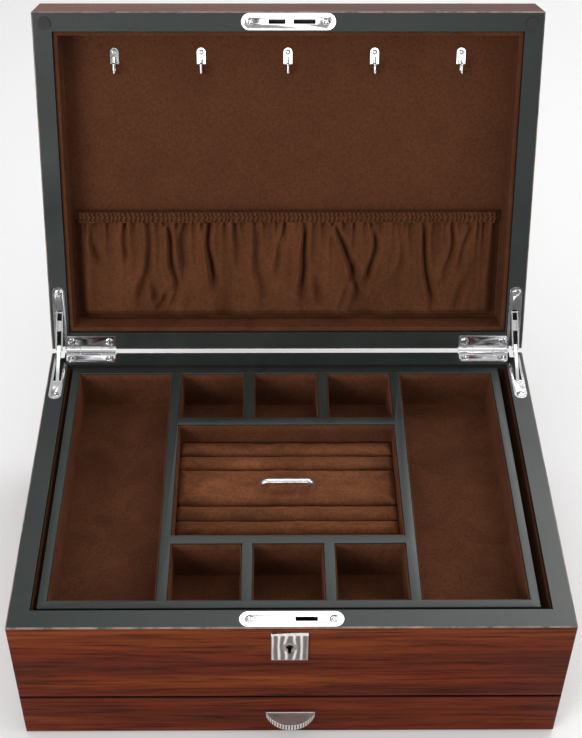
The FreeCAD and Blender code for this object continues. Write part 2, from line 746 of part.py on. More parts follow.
DRAWER_FACE_BACK = f"({FRONT} + wall - drawer_face_gap)"
DRAWER_LOW = f"({CASE_FLOOR} + runner_height + seat_gap)"
DRAWER_BACK = f"({INNER_Y} - drawer_back_gap)"
DRAWER_X = f"({INNER_X} - drawer_side_gap)"
DRAWER_FLOOR_Z = f"({DRAWER_LOW} + drawer_floor_lift)"
drawer_side_z = (DRAWER_LOW, f"{DRAWER_LOW} + drawer_side_height")
drawer_inner_x = (f"-{DRAWER_X} + drawer_board", f"{DRAWER_X} - drawer_board")
drawer_inner_y = (DRAWER_FACE_BACK, f"{DRAWER_BACK} - drawer_board")

runner_z = (CASE_FLOOR, f"{CASE_FLOOR} + runner_height")
node("drawer_runners", group("drawer_runner_pair", *[
    box(f"drawer_runner_{side}", sided(side, (f"{INNER_X} - runner_width", INNER_X)), inner_y, runner_z)
    for side in SIDES
]))
stop_y = (f"-{INNER_Y}", f"{DRAWER_BACK} - drawer_board - drawer_travel - seat_gap")
stop_z = ("drawer_bay_top - stop_height", "drawer_bay_top")
node("drawer_stop", box("drawer_stop_block", centred("stop_width"), stop_y, stop_z))

pull_screw_z = "pull_top - pull_thickness / 2"
pull_screw_x = [f"{sign}pull_screw_spacing / 2" for sign in ("-", "")]


def pull_screws(name, grow="0"):
    """Two screws through the drawer's face from behind, into the pull."""
    made = []
    for n, x in enumerate(pull_screw_x, start=1):
        head = rod(
            f"{name}_head_{n}", "y", (x, pull_screw_z), f"screw_head + {grow}",
            f"{DRAWER_FACE_BACK} - screw_head_depth - {grow}", DRAWER_FACE_BACK,
        )
        shank = rod(
            f"{name}_shank_{n}", "y", (x, pull_screw_z), f"screw_shank + {grow}",
            f"{FRONT} - pull_reach / 2 - {grow}", f"{DRAWER_FACE_BACK} - screw_head_depth",
        )
        made.append(fuse(f"{name}_{n}", head, shank))
    return group(name, *made)


pull_screw_holes = pull_screws("pull_screw_hole", "fit / 2")
face_block = box(
    "drawer_face_block", centred("case_width"), (FRONT, DRAWER_FACE_BACK),
    ("drawer_foot_gap", "drawer_bay_top - drawer_top_gap"),
)
face_block = rounded(
    "drawer_face", face_block, "edge_round",
    lambda edge: abs(edge.CenterOfMass.y + sheet.get("case_depth") / 2) < 0.01,
)
node("drawer_front", cut("drawer_front_cut", face_block, pull_screw_holes))
node("drawer_sides", group("drawer_side_pair", *[
    box(
        f"drawer_side_{side}", sided(side, (f"{DRAWER_X} - drawer_board", DRAWER_X)),
        (DRAWER_FACE_BACK, DRAWER_BACK), drawer_side_z,
    )
    for side in SIDES
]))
node("drawer_back", box(
    "drawer_back_board", drawer_inner_x, (f"{DRAWER_BACK} - drawer_board", DRAWER_BACK),
    (DRAWER_LOW, "drawer_bay_top - runner_height"),
))
drawer_floor_z = (DRAWER_FLOOR_Z, f"{DRAWER_FLOOR_Z} + drawer_floor")
node("drawer_bottom", box("drawer_bottom_board", drawer_inner_x, drawer_inner_y, drawer_floor_z))
drawer_lining_z = (drawer_floor_z[1], f"{drawer_side_z[1]} - lining")
node("drawer_lining", open_tub("drawer_tub", drawer_inner_x, drawer_inner_y, drawer_lining_z, "lining"))

pull_z = ("pull_top - pull_thickness", "pull_top")
pull_radius = "((pull_width / 2) ^ 2 + pull_reach ^ 2) / (2 * pull_reach)"
pull_block = common(
    "pull_block",
    rod("pull_disc", "z", ("0", f"{FRONT} - pull_reach + {pull_radius}"), pull_radius, *pull_z),
    box("pull_limit", centred("pull_width + 2"), (f"{FRONT} - pull_reach - 1", FRONT), pull_z),
)
node("drawer_pull", cut("drawer_pull_cut", pull_block, pull_screw_holes))
node("drawer_pull_screws", pull_screws("pull_screw"))

# ----------------------------------------------------------------------------------------- lid

lid_x = centred("case_width")
lid_y = (LID_FRONT, LID_BACK)
lid_block = rounded("lid_block", box("lid_block_plain", lid_x, lid_y, (LID_RIM, LID_TOP)), "edge_round")
lid_hinge_screws = screws("lid_hinge_screw", hinge_screw_places("lid"), 1)
lid_hinge_holes = screws("lid_hinge_hole", hinge_screw_places("lid"), 1, "fit / 2")
lid_rooms = {side: hinge_room("lid_hinge_room_" + side, "lid", side) for side in SIDES}
strike_screws = screws("strike_screw", plate_screw_places(LID_WALL_MID_Y, LID_RIM), 1)
strike_screw_holes = screws("strike_screw_hole", plate_screw_places(LID_WALL_MID_Y, LID_RIM), 1, "fit / 2")
STRIKE_TOP = f"({LID_RIM} + plate_thickness)"
strike_slot_y = (f"{LID_WALL_MID_Y} - slot_width / 2", f"{LID_WALL_MID_Y} + slot_width / 2")
strike_x = ("strike_blind_low - strike_pocket_margin", "strike_slot_high + strike_pocket_margin")
strike_pocket = box("strike_pocket_block", strike_x, strike_slot_y, (LID_RIM, f"{LID_RIM} + strike_pocket"))
strike_seat = pill("strike_seat", (f"{LID_RIM} - 1", STRIKE_TOP), LID_WALL_MID_Y, "fit")

LID_MIDDLE = "(-hinge_setback - case_depth / 2)"
rail_z = (LID_RIM, LID_BOARD_LOW)
RAILS = {
    "front": (0, "case_width", "case_depth / 2", (strike_pocket, strike_seat, strike_screw_holes)),
    "right": (1, "case_depth", "case_width / 2", (lid_hinge_holes, lid_rooms["right"])),
    "back": (2, "case_width", "case_depth / 2", (lid_hinge_holes, *lid_rooms.values())),
    "left": (3, "case_depth", "case_width / 2", (lid_hinge_holes, lid_rooms["left"])),
}
for side, (turns, length, reach, rooms) in RAILS.items():
    mitre = mitred_board(f"lid_{side}_mitre", turns, length, reach, rail_z, LID_MIDDLE)
    rail = common(f"lid_{side}_board", lid_block, mitre)
    node(f"lid_{side}_rail", cut(f"lid_{side}_cut", rail, *rooms), in_lid=True)
top_limit_z = (LID_BOARD_LOW, f"{LID_TOP} + 1")
top_limit = box("lid_top_limit", centred("case_width + 2"), (f"{LID_FRONT} - 1", "0"), top_limit_z)
node("lid_top_panel", common("lid_top_board", lid_block, top_limit), in_lid=True)

lid_inner_y = (f"{LID_FRONT} + wall", f"{LID_BACK} - wall")
lid_lining_z = (f"{LID_RIM} + lid_lining_drop", LID_PANEL)
node("lid_wall_lining", ring("lid_wall_ring", inner_x, lid_inner_y, lid_lining_z, "lid_lining"), in_lid=True)

# The pocket's lip is a gathered band held out by elastic; below it the pocket is a shallow pouch.
POCKET_X = f"({INNER_X} - lid_lining - pocket_side_gap)"
POCKET_LIP = f"({LID_FRONT} + pocket_top)"
POCKET_LOW_Y = f"({LID_BACK} - wall - lid_lining - soft_gap)"
POCKET_FACE = f"({LID_PANEL} - pocket_bulge)"
POCKET_BACK = f"({LID_PANEL} - soft_gap)"
pocket_x = (f"-{POCKET_X}", POCKET_X)
pocket_y = (f"{POCKET_LIP} + band_height + fit", POCKET_LOW_Y)
pocket_z = (POCKET_FACE, POCKET_BACK)
pouch_room = box(
    "pocket_inside",
    (f"-{POCKET_X} + pocket_cloth", f"{POCKET_X} - pocket_cloth"),
    (f"{pocket_y[0]} - 1", f"{pocket_y[1]} - pocket_cloth"),
    (f"{POCKET_FACE} + pocket_cloth", f"{POCKET_BACK} + 1"),
)
pouch = cut("lid_pocket_cut", box("pocket_outside", pocket_x, pocket_y, pocket_z), pouch_room)
node("lid_pocket", pouch, in_lid=True)
band_y = (POCKET_LIP, f"{POCKET_LIP} + band_height")
band_room = box(
    "band_inside",
    (f"-{POCKET_X} + band_thickness", f"{POCKET_X} - band_thickness"),
    (f"{band_y[0]} - 1", f"{band_y[1]} + 1"),
    (f"{POCKET_FACE} + band_thickness", f"{POCKET_BACK} + 1"),
)
band = cut("pocket_elastic_cut", box("band_outside", pocket_x, band_y, pocket_z), band_room)
node("pocket_elastic", band, in_lid=True)

# Hooks hang from the panel in a row; each is a plate with a wire bent up in front of it.
HOOK_TOP = f"({LID_FRONT} + hook_top)"
HOOK_FACE = f"({LID_PANEL} - hook_plate_thickness)"
HOOK_SCREW_Y = f"({HOOK_TOP} + hook_plate_width / 2)"
HOOK_BEND_Y = f"({HOOK_TOP} + hook_plate_length + hook_bend)"
WIRE_BACK = f"({HOOK_FACE} - hook_wire * 0.6)"
WIRE_FRONT = f"({WIRE_BACK} - 2 * hook_bend)"


HOOK_STEM_Y = f"{HOOK_BEND_Y} - 2.5 * hook_bend"


def necklace_hook(name, x):
    """A plate with a round top, and a wire that leaves it downwards and comes up again in front."""
    half_plate = "hook_plate_width / 2"
    plate_z = (HOOK_FACE, LID_PANEL)
    bend = doc.addObject("Part::Torus", name + "_bend")
    bend.Placement = FreeCAD.Placement(FreeCAD.Vector(), FreeCAD.Rotation(FreeCAD.Vector(0, 1, 0), 90))
    bind(bend, Radius1="hook_bend", Radius2="hook_wire", Angle3="180")
    place(bend, x, HOOK_BEND_Y, f"{WIRE_BACK} - hook_bend")
    tip = doc.addObject("Part::Sphere", name + "_tip")
    place(bind(tip, Radius="hook_wire * 1.3"), x, f"{HOOK_BEND_Y} - hook_tip_rise", WIRE_FRONT)
    plate_y = (HOOK_SCREW_Y, f"{HOOK_TOP} + hook_plate_length")
    return fuse(
        name,
        box(name + "_plate", (f"{x} - {half_plate}", f"{x} + {half_plate}"), plate_y, plate_z),
        rod(name + "_plate_end", "z", (x, HOOK_SCREW_Y), half_plate, *plate_z),
        rod(name + "_stem", "y", (x, WIRE_BACK), "hook_wire", HOOK_STEM_Y, HOOK_BEND_Y),
        bend,
        rod(name + "_rise", "y", (x, WIRE_FRONT), "hook_wire", f"{HOOK_BEND_Y} - hook_tip_rise", HOOK_BEND_Y),
        tip,
    )


hook_count = int(sheet.get("hook_count"))
hook_x = [f"({n} - (hook_count - 1) / 2) * hook_pitch" for n in range(hook_count)]


def hook_screws(name, grow="0"):
    """One round-headed screw through each hook's plate into the backing board."""
    made = []
    for n, x in enumerate(hook_x, start=1):
        middle = (x, HOOK_SCREW_Y)
        head_z = (f"{HOOK_FACE} - hook_wire / 2", HOOK_FACE)
        head = rod(f"{name}_head_{n}", "z", middle, f"hook_screw_head + {grow}", *head_z)
        shank_z = (HOOK_FACE, f"{LID_BOARD_LOW} - fit + {grow}")
        shank = rod(f"{name}_shank_{n}", "z", middle, f"hook_screw_shank + {grow}", *shank_z)
        made.append(fuse(f"{name}_{n}", head, shank))
    return group(name, *made)


hook_holes = hook_screws("hook_screw_hole", "fit / 2")
hooks = group("necklace_hook_row", *[
    necklace_hook(f"necklace_hook_{n}", x) for n, x in enumerate(hook_x, start=1)
])
node("necklace_hooks", cut("necklace_hooks_cut", hooks, hook_holes), in_lid=True)
node("hook_screws", hook_screws("hook_screw"), in_lid=True)
suede = box("lid_suede_sheet", inner_x, lid_inner_y, (LID_PANEL, f"{LID_PANEL} + lining"))
node("lid_panel_suede", cut("lid_suede_cut", suede, hook_holes), in_lid=True)
backing = box("lid_backing", inner_x, lid_inner_y, (f"{LID_PANEL} + lining", LID_BOARD_LOW))
node("lid_panel_board", cut("lid_backing_cut", backing, hook_holes), in_lid=True)

strike_z = (LID_RIM, STRIKE_TOP)
strike_cut_z = (f"{LID_RIM} - 1", f"{STRIKE_TOP} + 1")
node("strike_plate", cut(
    "strike_plate_cut", pill("strike_plate_blank", strike_z, LID_WALL_MID_Y), strike_screw_holes,
    box("strike_slot", ("strike_slot_low", "strike_slot_high"), strike_slot_y, strike_cut_z),
    box("strike_blind_slot", ("strike_blind_low", "strike_blind_high"), strike_slot_y, strike_cut_z),
), in_lid=True)
bumpers = []
for side in SIDES:
    bumper_at = (spot(side, "(case_width / 2 - bumper_inset_x)"), f"{LID_FRONT} + bumper_inset_y")
    bumper_z = (f"{LID_RIM} - bumper_height", LID_RIM)
    bumpers.append(rod(f"bumper_{side}", "z", bumper_at, "bumper_radius", *bumper_z))
    node(f"hinge_lid_leaf_{side}", hinge_leaf("lid", side, lid_hinge_holes), in_lid=True)
node("lid_bumpers", group("lid_bumper_pair", *bumpers), in_lid=True)
node("lid_screws", group("lid_screw_set", lid_hinge_screws, strike_screws), in_lid=True)
node("stay_lid_pins", stay_pins("lid"), in_lid=True)

# ---------------------------------------------------------------------------------------- tray

TRAY_X = "tray_shift_x"
TRAY_Y = "tray_shift_y"


def tray_span(middle, low, high):
    return (f"{middle} + ({low})", f"{middle} + ({high})")


def even(middle, length):
    return tray_span(middle, f"-({length}) / 2", f"({length}) / 2")


TRAY_IN_X = "(tray_width - 2 * tray_wall)"
TRAY_IN_Y = "(tray_depth - 2 * tray_wall)"
MID_BAY_X = f"({TRAY_IN_X} - 2 * long_bay_width - 2 * tray_divider)"
RING_BAY_Y = f"({TRAY_IN_Y} - 2 * small_bay_depth - 2 * tray_divider)"
SMALL_BAY_X = f"(({MID_BAY_X} - 2 * tray_divider) / 3)"
tray_wall_z = (TRAY_LOW, TRAY_TOP)
tray_open_z = (TRAY_FLOOR_TOP, TRAY_TOP)
tray_lining_z = (TRAY_FLOOR_TOP, f"{TRAY_TOP} - tray_lining_drop")
tray_in_x = even(TRAY_X, TRAY_IN_X)
tray_in_y = even(TRAY_Y, TRAY_IN_Y)
mid_bay_x = even(TRAY_X, MID_BAY_X)
ring_bay_y = even(TRAY_Y, RING_BAY_Y)

tray_all_x = even(TRAY_X, "tray_width")
TRAY_WALLS = {
    "front": (tray_all_x, tray_span(TRAY_Y, "-tray_depth / 2", "-tray_depth / 2 + tray_wall")),
    "back": (tray_all_x, tray_span(TRAY_Y, "tray_depth / 2 - tray_wall", "tray_depth / 2")),
    "left": (tray_span(TRAY_X, "-tray_width / 2", "-tray_width / 2 + tray_wall"), tray_in_y),
    "right": (tray_span(TRAY_X, "tray_width / 2 - tray_wall", "tray_width / 2"), tray_in_y),
}
node("tray_walls", group("tray_wall_set", *[
    box(f"tray_{side}_wall", x, y, tray_wall_z) for side, (x, y) in TRAY_WALLS.items()
]))

LONG_DIVIDER = {
    "left": tray_span(TRAY_X, f"-{MID_BAY_X} / 2 - tray_divider", f"-{MID_BAY_X} / 2"),
    "right": tray_span(TRAY_X, f"{MID_BAY_X} / 2", f"{MID_BAY_X} / 2 + tray_divider"),
}
node("tray_long_dividers", group("long_divider_pair", *[
    box(f"long_divider_{side}", x, tray_in_y, tray_open_z) for side, x in LONG_DIVIDER.items()
]))
CROSS_DIVIDER = {
    "front": tray_span(TRAY_Y, f"-{RING_BAY_Y} / 2 - tray_divider", f"-{RING_BAY_Y} / 2"),
    "back": tray_span(TRAY_Y, f"{RING_BAY_Y} / 2", f"{RING_BAY_Y} / 2 + tray_divider"),
}
SMALL_BAY_Y = {
    "front": tray_span(TRAY_Y, f"-{TRAY_IN_Y} / 2", f"-{TRAY_IN_Y} / 2 + small_bay_depth"),
    "back": tray_span(TRAY_Y, f"{TRAY_IN_Y} / 2 - small_bay_depth", f"{TRAY_IN_Y} / 2"),
}
node("tray_cross_dividers", group("cross_divider_pair", *[
    box(f"cross_divider_{row}", mid_bay_x, y, tray_open_z) for row, y in CROSS_DIVIDER.items()
]))
small_pitch = f"({SMALL_BAY_X} + tray_divider)"
short_dividers = []
small_linings = []
for row, y in SMALL_BAY_Y.items():
    for n, shift in enumerate(("-0.5", "0.5"), start=1):
        x = even(f"({TRAY_X} + {shift} * {small_pitch})", "tray_divider")
        short_dividers.append(box(f"short_divider_{row}_{n}", x, y, tray_open_z))
    for n, shift in enumerate(("-1", "0", "1"), start=1):
        x = even(f"({TRAY_X} + ({shift}) * {small_pitch})", SMALL_BAY_X)
        small_linings.append(open_tub(f"small_lining_{row}_{n}", x, y, tray_lining_z, "tray_lining"))
node("tray_short_dividers", group("short_divider_set", *short_dividers))
LONG_BAY_X = {
    "left": tray_span(TRAY_X, f"-{TRAY_IN_X} / 2", f"-{TRAY_IN_X} / 2 + long_bay_width"),
    "right": tray_span(TRAY_X, f"{TRAY_IN_X} / 2 - long_bay_width", f"{TRAY_IN_X} / 2"),
}
long_linings = [
    open_tub(f"long_lining_{side}", x, tray_in_y, tray_lining_z, "tray_lining")
    for side, x in LONG_BAY_X.items()
]

# The ring bay holds a foam base, and on it five rolls with a broad pad between them.
RING_BASE_TOP = f"({TRAY_FLOOR_TOP} + ring_base_height)"
RING_TOP = f"({TRAY_TOP} - ring_drop)"
RING_IN_X = f"({MID_BAY_X} - 2 * tray_lining - ring_gap)"
RING_IN_Y = f"({RING_BAY_Y} - 2 * tray_lining)"
RING_LOW_Y = f"({TRAY_Y} - {RING_IN_Y} / 2)"
RING_HIGH_Y = f"({TRAY_Y} + {RING_IN_Y} / 2)"
HANDLE_Y = f"({TRAY_Y} + handle_shift_y)"
HANDLE_TOP = f"({TRAY_TOP} - handle_drop - handle_rod)"
HANDLE_LEG = "(handle_span / 2)"
handle_leg_x = [f"{TRAY_X} {sign} {HANDLE_LEG}" for sign in "-+"]
ring_x = even(TRAY_X, RING_IN_X)


def leg_holes(name, grow):
    """Holes for the handle's two legs, from under the tray up to above the pad."""
    return group(name, *[
        rod(f"{name}_{n}", "z", (x, HANDLE_Y), f"handle_rod + {grow}", TRAY_FLOOR_TOP, TRAY_TOP)
        for n, x in enumerate(handle_leg_x, start=1)
    ])


ring_lining_box = open_tub("ring_lining_tub", mid_bay_x, ring_bay_y, tray_lining_z, "tray_lining")
pad_leg_holes = leg_holes("pad_leg_hole", "soft_gap")
ring_lining = cut("ring_lining", ring_lining_box, pad_leg_holes)
node("tray_linings", group("tray_lining_set", *long_linings, *small_linings, ring_lining))
base_y = (f"{RING_LOW_Y} + ring_gap / 2", f"{RING_HIGH_Y} - ring_gap / 2")
base_z = (f"{TRAY_FLOOR_TOP} + tray_lining", RING_BASE_TOP)
node("ring_foam_base", cut("ring_base_cut", box("ring_base_block", ring_x, base_y, base_z), pad_leg_holes))
roll_z = (f"{RING_BASE_TOP} + soft_gap", RING_TOP)
FRONT_ROLLS = 3
BACK_ROLLS = 2
roll_lows = [f"{RING_LOW_Y} + {n} * ring_pitch" for n in range(FRONT_ROLLS)]
roll_lows += [f"{RING_HIGH_Y} - {n + 1} * ring_pitch" for n in range(BACK_ROLLS)]
rolls = [
    box(f"ring_roll_{n}", ring_x, (f"{low} + ring_gap / 2", f"{low} + ring_pitch - ring_gap / 2"), roll_z)
    for n, low in enumerate(roll_lows, start=1)
]
node("ring_rolls", group("ring_roll_set", *rolls))
pad_y = (
    f"{RING_LOW_Y} + {FRONT_ROLLS} * ring_pitch + ring_gap / 2",
    f"{RING_HIGH_Y} - {BACK_ROLLS} * ring_pitch - ring_gap / 2",
)
node("ring_centre_pad", cut("ring_pad_cut", box("ring_pad_block", ring_x, pad_y, roll_z), pad_leg_holes))

handle_bar = [
    rod(
        "handle_bar", "x", (HANDLE_Y, HANDLE_TOP), "handle_rod",
        f"{TRAY_X} - {HANDLE_LEG} + handle_bend", f"{TRAY_X} + {HANDLE_LEG} - handle_bend",
    )
]
for n, (x, inward, turn) in enumerate(zip(handle_leg_x, ("+", "-"), (-90, 0)), start=1):
    leg_z = (TRAY_FLOOR_TOP, f"{HANDLE_TOP} - handle_bend")
    handle_bar.append(rod(f"handle_leg_{n}", "z", (x, HANDLE_Y), "handle_rod", *leg_z))
    corner = doc.addObject("Part::Torus", f"handle_corner_{n}")
    flat = FreeCAD.Rotation(FreeCAD.Vector(1, 0, 0), 90)
    corner.Placement.Rotation = FreeCAD.Rotation(FreeCAD.Vector(0, 1, 0), turn).multiply(flat)
    bind(corner, Radius1="handle_bend", Radius2="handle_rod", Angle3="90")
    handle_bar.append(place(corner, f"{x} {inward} handle_bend", HANDLE_Y, f"{HANDLE_TOP} - handle_bend"))


def handle_screws(name, grow="0"):
    """A screw up through the tray's floor into each of the handle's legs."""
    made = []
    for n, x in enumerate(handle_leg_x, start=1):
        middle = (x, HANDLE_Y)
        head_z = (f"{TRAY_LOW} + seat_gap - {grow}", f"{TRAY_LOW} + seat_gap + screw_head_depth")
        head = rod(f"{name}_head_{n}", "z", middle, f"screw_head + {grow}", *head_z)
        shank_z = (head_z[1], f"{TRAY_FLOOR_TOP} + screw_length + {grow}")
        shank = rod(f"{name}_shank_{n}", "z", middle, f"screw_shank + {grow}", *shank_z)
        made.append(fuse(f"{name}_{n}", head, shank))
    return group(name, *made)


handle_screw_holes = handle_screws("handle_screw_hole", "fit / 2")
head_way_z = (f"{TRAY_LOW} - 1", f"{TRAY_LOW} + seat_gap * 2")
head_ways = group("handle_head_ways", *[
    rod(f"handle_head_way_{n}", "z", (x, HANDLE_Y), "screw_head + fit", *head_way_z)
    for n, x in enumerate(handle_leg_x, start=1)
])
node("tray_handle", cut("tray_handle_cut", fuse("tray_handle_body", *handle_bar), handle_screw_holes))
node("tray_handle_screws", handle_screws("handle_screw"))
tray_floor = box("tray_floor_block", tray_in_x, tray_in_y, (TRAY_LOW, TRAY_FLOOR_TOP))
node("tray_bottom", cut("tray_floor_cut", tray_floor, handle_screw_holes, head_ways))

# --------------------------------------------------------------------------- check and hand in

doc.recompute()
failed = [item.Label for item in doc.Objects if "Invalid" in item.State or "Error" in item.State]
if failed:
    raise RuntimeError("these objects failed: " + ", ".join(failed))
for piece in NODES:
    if piece.Shape.isNull() or not piece.Shape.isValid() or not piece.Shape.Solids:
        raise RuntimeError("this sub-part has no sound solid: " + piece.Label)

os.makedirs("parts", exist_ok=True)
for piece in NODES:
    piece.Shape.exportStep(os.path.join("parts", piece.Label + ".step"))
print(len(NODES), "sub-parts,", sum(len(piece.Shape.Solids) for piece in NODES), "solids")
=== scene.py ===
"""Looks of a lockable wooden jewelry box: veneered boards, lacquered rims, suede linings, chrome hardware.

The frame gives every size and place. Each operator makes one piece, or one group of like pieces, on it.
"""

import json
import math

import bmesh
import bpy
from mathutils import Matrix, Vector, noise


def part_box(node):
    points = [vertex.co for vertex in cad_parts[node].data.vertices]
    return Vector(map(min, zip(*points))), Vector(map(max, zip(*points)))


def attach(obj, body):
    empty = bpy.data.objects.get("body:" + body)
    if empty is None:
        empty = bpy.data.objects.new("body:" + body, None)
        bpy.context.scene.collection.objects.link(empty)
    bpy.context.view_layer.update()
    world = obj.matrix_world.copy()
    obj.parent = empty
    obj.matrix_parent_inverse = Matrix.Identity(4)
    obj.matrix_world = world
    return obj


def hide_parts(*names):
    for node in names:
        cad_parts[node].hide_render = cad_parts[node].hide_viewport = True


bl_info = {
    "name": "Jewelry box looks",
    "version": (1, 0, 0),
    "blender": (4, 5, 0),
    "location": "View3D > Sidebar > Jewelry Box",
    "description": "Builds the finished wood, suede and chrome of a two-tier jewelry box around its frame",
    "category": "Object",
}

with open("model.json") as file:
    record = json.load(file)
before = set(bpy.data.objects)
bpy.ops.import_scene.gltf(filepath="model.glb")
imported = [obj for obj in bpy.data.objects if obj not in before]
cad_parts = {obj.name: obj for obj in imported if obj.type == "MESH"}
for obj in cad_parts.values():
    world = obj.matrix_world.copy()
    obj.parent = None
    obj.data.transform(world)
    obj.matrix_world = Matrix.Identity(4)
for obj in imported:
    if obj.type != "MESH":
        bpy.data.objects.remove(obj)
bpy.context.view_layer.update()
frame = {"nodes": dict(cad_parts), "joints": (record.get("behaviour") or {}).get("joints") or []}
NODES = frame["nodes"]

MM = 0.001
WELD = 0.002 * MM  # points nearer than this are one point
TOUCH = 0.1 * MM  # an edge nearer than this to a level lies in it
SUEDE = 0.8 * MM  # thickness of the suede glued into a bay
POCKET_CLOTH = 0.5 * MM
CASE_SKIN, LID_SKIN = 1.0 * MM, 3.3 * MM  # the covered frames against the walls


# ---- the lid's own frame
# The lid's pieces are drawn with the origin on the hinge axis, y towards the back and z up when shut.

LID_HINGE = next(joint for joint in frame["joints"] if joint["name"] == "lid_hinge")
LID_OPEN = -math.radians(LID_HINGE["range_deg"][0])
LID = Matrix.Translation(LID_HINGE["pos_m"]) @ Matrix.Rotation(-LID_OPEN, 4, "X")


def low_high(points):
    """Lowest and highest corner of some points."""
    low = Vector([min(p[axis] for p in points) for axis in range(3)])
    high = Vector([max(p[axis] for p in points) for axis in range(3)])
    return low, high


def lid_box(node):
    """A lid node's box in the lid's own frame."""
    inward = LID.inverted()
    return low_high([inward @ v.co for v in NODES[node].data.vertices])


def node_shape(node):
    """A merged copy of a node's own mesh."""
    mesh = bmesh.new()
    mesh.from_mesh(NODES[node].data)
    bmesh.ops.remove_doubles(mesh, verts=mesh.verts, dist=WELD)
    return mesh


def islands(node, place=None):
    """The boxes of a node's separate solids, from left to right, front to back."""
    mesh = node_shape(node)
    left, boxes = set(mesh.verts), []
    while left:
        waiting, found = [left.pop()], []
        while waiting:
            vert = waiting.pop()
            found.append(place @ vert.co if place else vert.co.copy())
            for edge in vert.link_edges:
                other = edge.other_vert(vert)
                if other in left:
                    left.discard(other)
                    waiting.append(other)
        boxes.append(low_high(found))
    mesh.free()
    return sorted(boxes, key=lambda box: (round(box[0].x, 4), round(box[0].y, 4)))


# ---- settings


def colour(name, description, default):
    return bpy.props.FloatVectorProperty(
        name=name, description=description, default=default, size=3, min=0.0, max=1.0, subtype="COLOR"
    )


def length(name, description, default):
    return bpy.props.FloatProperty(
        name=name, description=description, default=default, min=0.0, subtype="DISTANCE", unit="LENGTH"
    )


def angle(name, description, degrees):
    return bpy.props.FloatProperty(
        name=name, description=description, default=math.radians(degrees), subtype="ANGLE", unit="ROTATION"
    )


class WoodSettings(bpy.types.PropertyGroup):
    """Veneer and lacquer."""

    heart: colour("Veneer red", "The veneer's main colour", (0.125, 0.019, 0.005))
    streak: colour("Veneer streak", "The dark growth lines", (0.028, 0.005, 0.002))
    glow: colour("Veneer orange", "The light figure between the growth lines", (0.235, 0.050, 0.010))
    lacquer: colour("Rim lacquer", "The black-green lacquer on the rims and the tray", (0.013, 0.019, 0.017))
    board: colour("Plain board", "Hidden boards", (0.22, 0.12, 0.06))
    # The pale arris colour is a painted highlight along the rounded edge between the rim lacquer and the
    # veneer.
    edge: colour("Painted arris highlight", "The pale arris of the case and the lid", (0.21, 0.15, 0.12))
    rim_depth: length("Rim depth", "How far the lacquer comes down over the arris", 0.9 * MM)
    tray_bevel: length("Tray arris", "Width of the eased edges of the tray's frame", 0.5 * MM)


class ClothSettings(bpy.types.PropertyGroup):
    """Suede, velvet and their cut."""

    suede: colour("Suede", "Linings and the lid's panel", (0.096, 0.0335, 0.0150))
    pocket: colour("Pocket suede", "The gathered pocket", (0.110, 0.039, 0.0158))
    velvet: colour("Roll velvet", "Ring rolls and centre pad", (0.158, 0.056, 0.0235))
    felt: colour("Base felt", "Felt under the case", (0.035, 0.016, 0.010))
    thread: colour("Thread", "Stitches on the pocket's band", (0.24, 0.12, 0.07))
    corner: length("Lining corner", "Radius of the suede in the corners of a bay", 1.5 * MM)
    ripple: length("Lining ripple", "How far glued suede stands off its board", 0.28 * MM)
    gather: length("Ruffle pitch", "Distance between two ruffles of the elastic band", 3.3 * MM)
    swell: length("Pad swell", "How far a pad may swell past its block", 0.9 * MM)


class MetalSettings(bpy.types.PropertyGroup):
    """Chrome hardware."""

    chrome: colour("Chrome", "Plates, hinges, hooks and handles", (0.86, 0.86, 0.87))
    steel: colour("Screw steel", "Screws and the lock's works", (0.66, 0.66, 0.67))
    edge: length("Plate edge", "Width of the eased edges of plates and leaves", 0.25 * MM)
    dome: length("Screw dome", "How far a screw's head stands up", 0.5 * MM)
    reeds: bpy.props.IntProperty(
        name="Reeds", description="Ridges along the edge of the drawer's pull", default=20, min=4, max=80
    )


class StageSettings(bpy.types.PropertyGroup):
    """Floor, light and camera."""

    floor: colour("Floor", "Plain pale floor", (0.96, 0.96, 0.96))
    sky: bpy.props.FloatProperty(
        name="Sky", description="Strength of the even light all round", default=0.62, min=0.0
    )
    lens: bpy.props.FloatProperty(
        name="Lens", description="Focal length", default=67.26, min=1.0, subtype="DISTANCE_CAMERA"
    )
    eye: bpy.props.FloatVectorProperty(
        name="Eye", description="Place of the camera", default=(-0.01404, -0.63109, 0.81025), size=3,
        subtype="XYZ", unit="LENGTH",
    )
    pitch: angle("Pitch", "How far the camera looks down", 41.476)
    yaw: angle("Yaw", "How far the camera looks to the left", -0.553)
    roll: angle("Roll", "How far the camera leans", -0.280)


# ---- materials


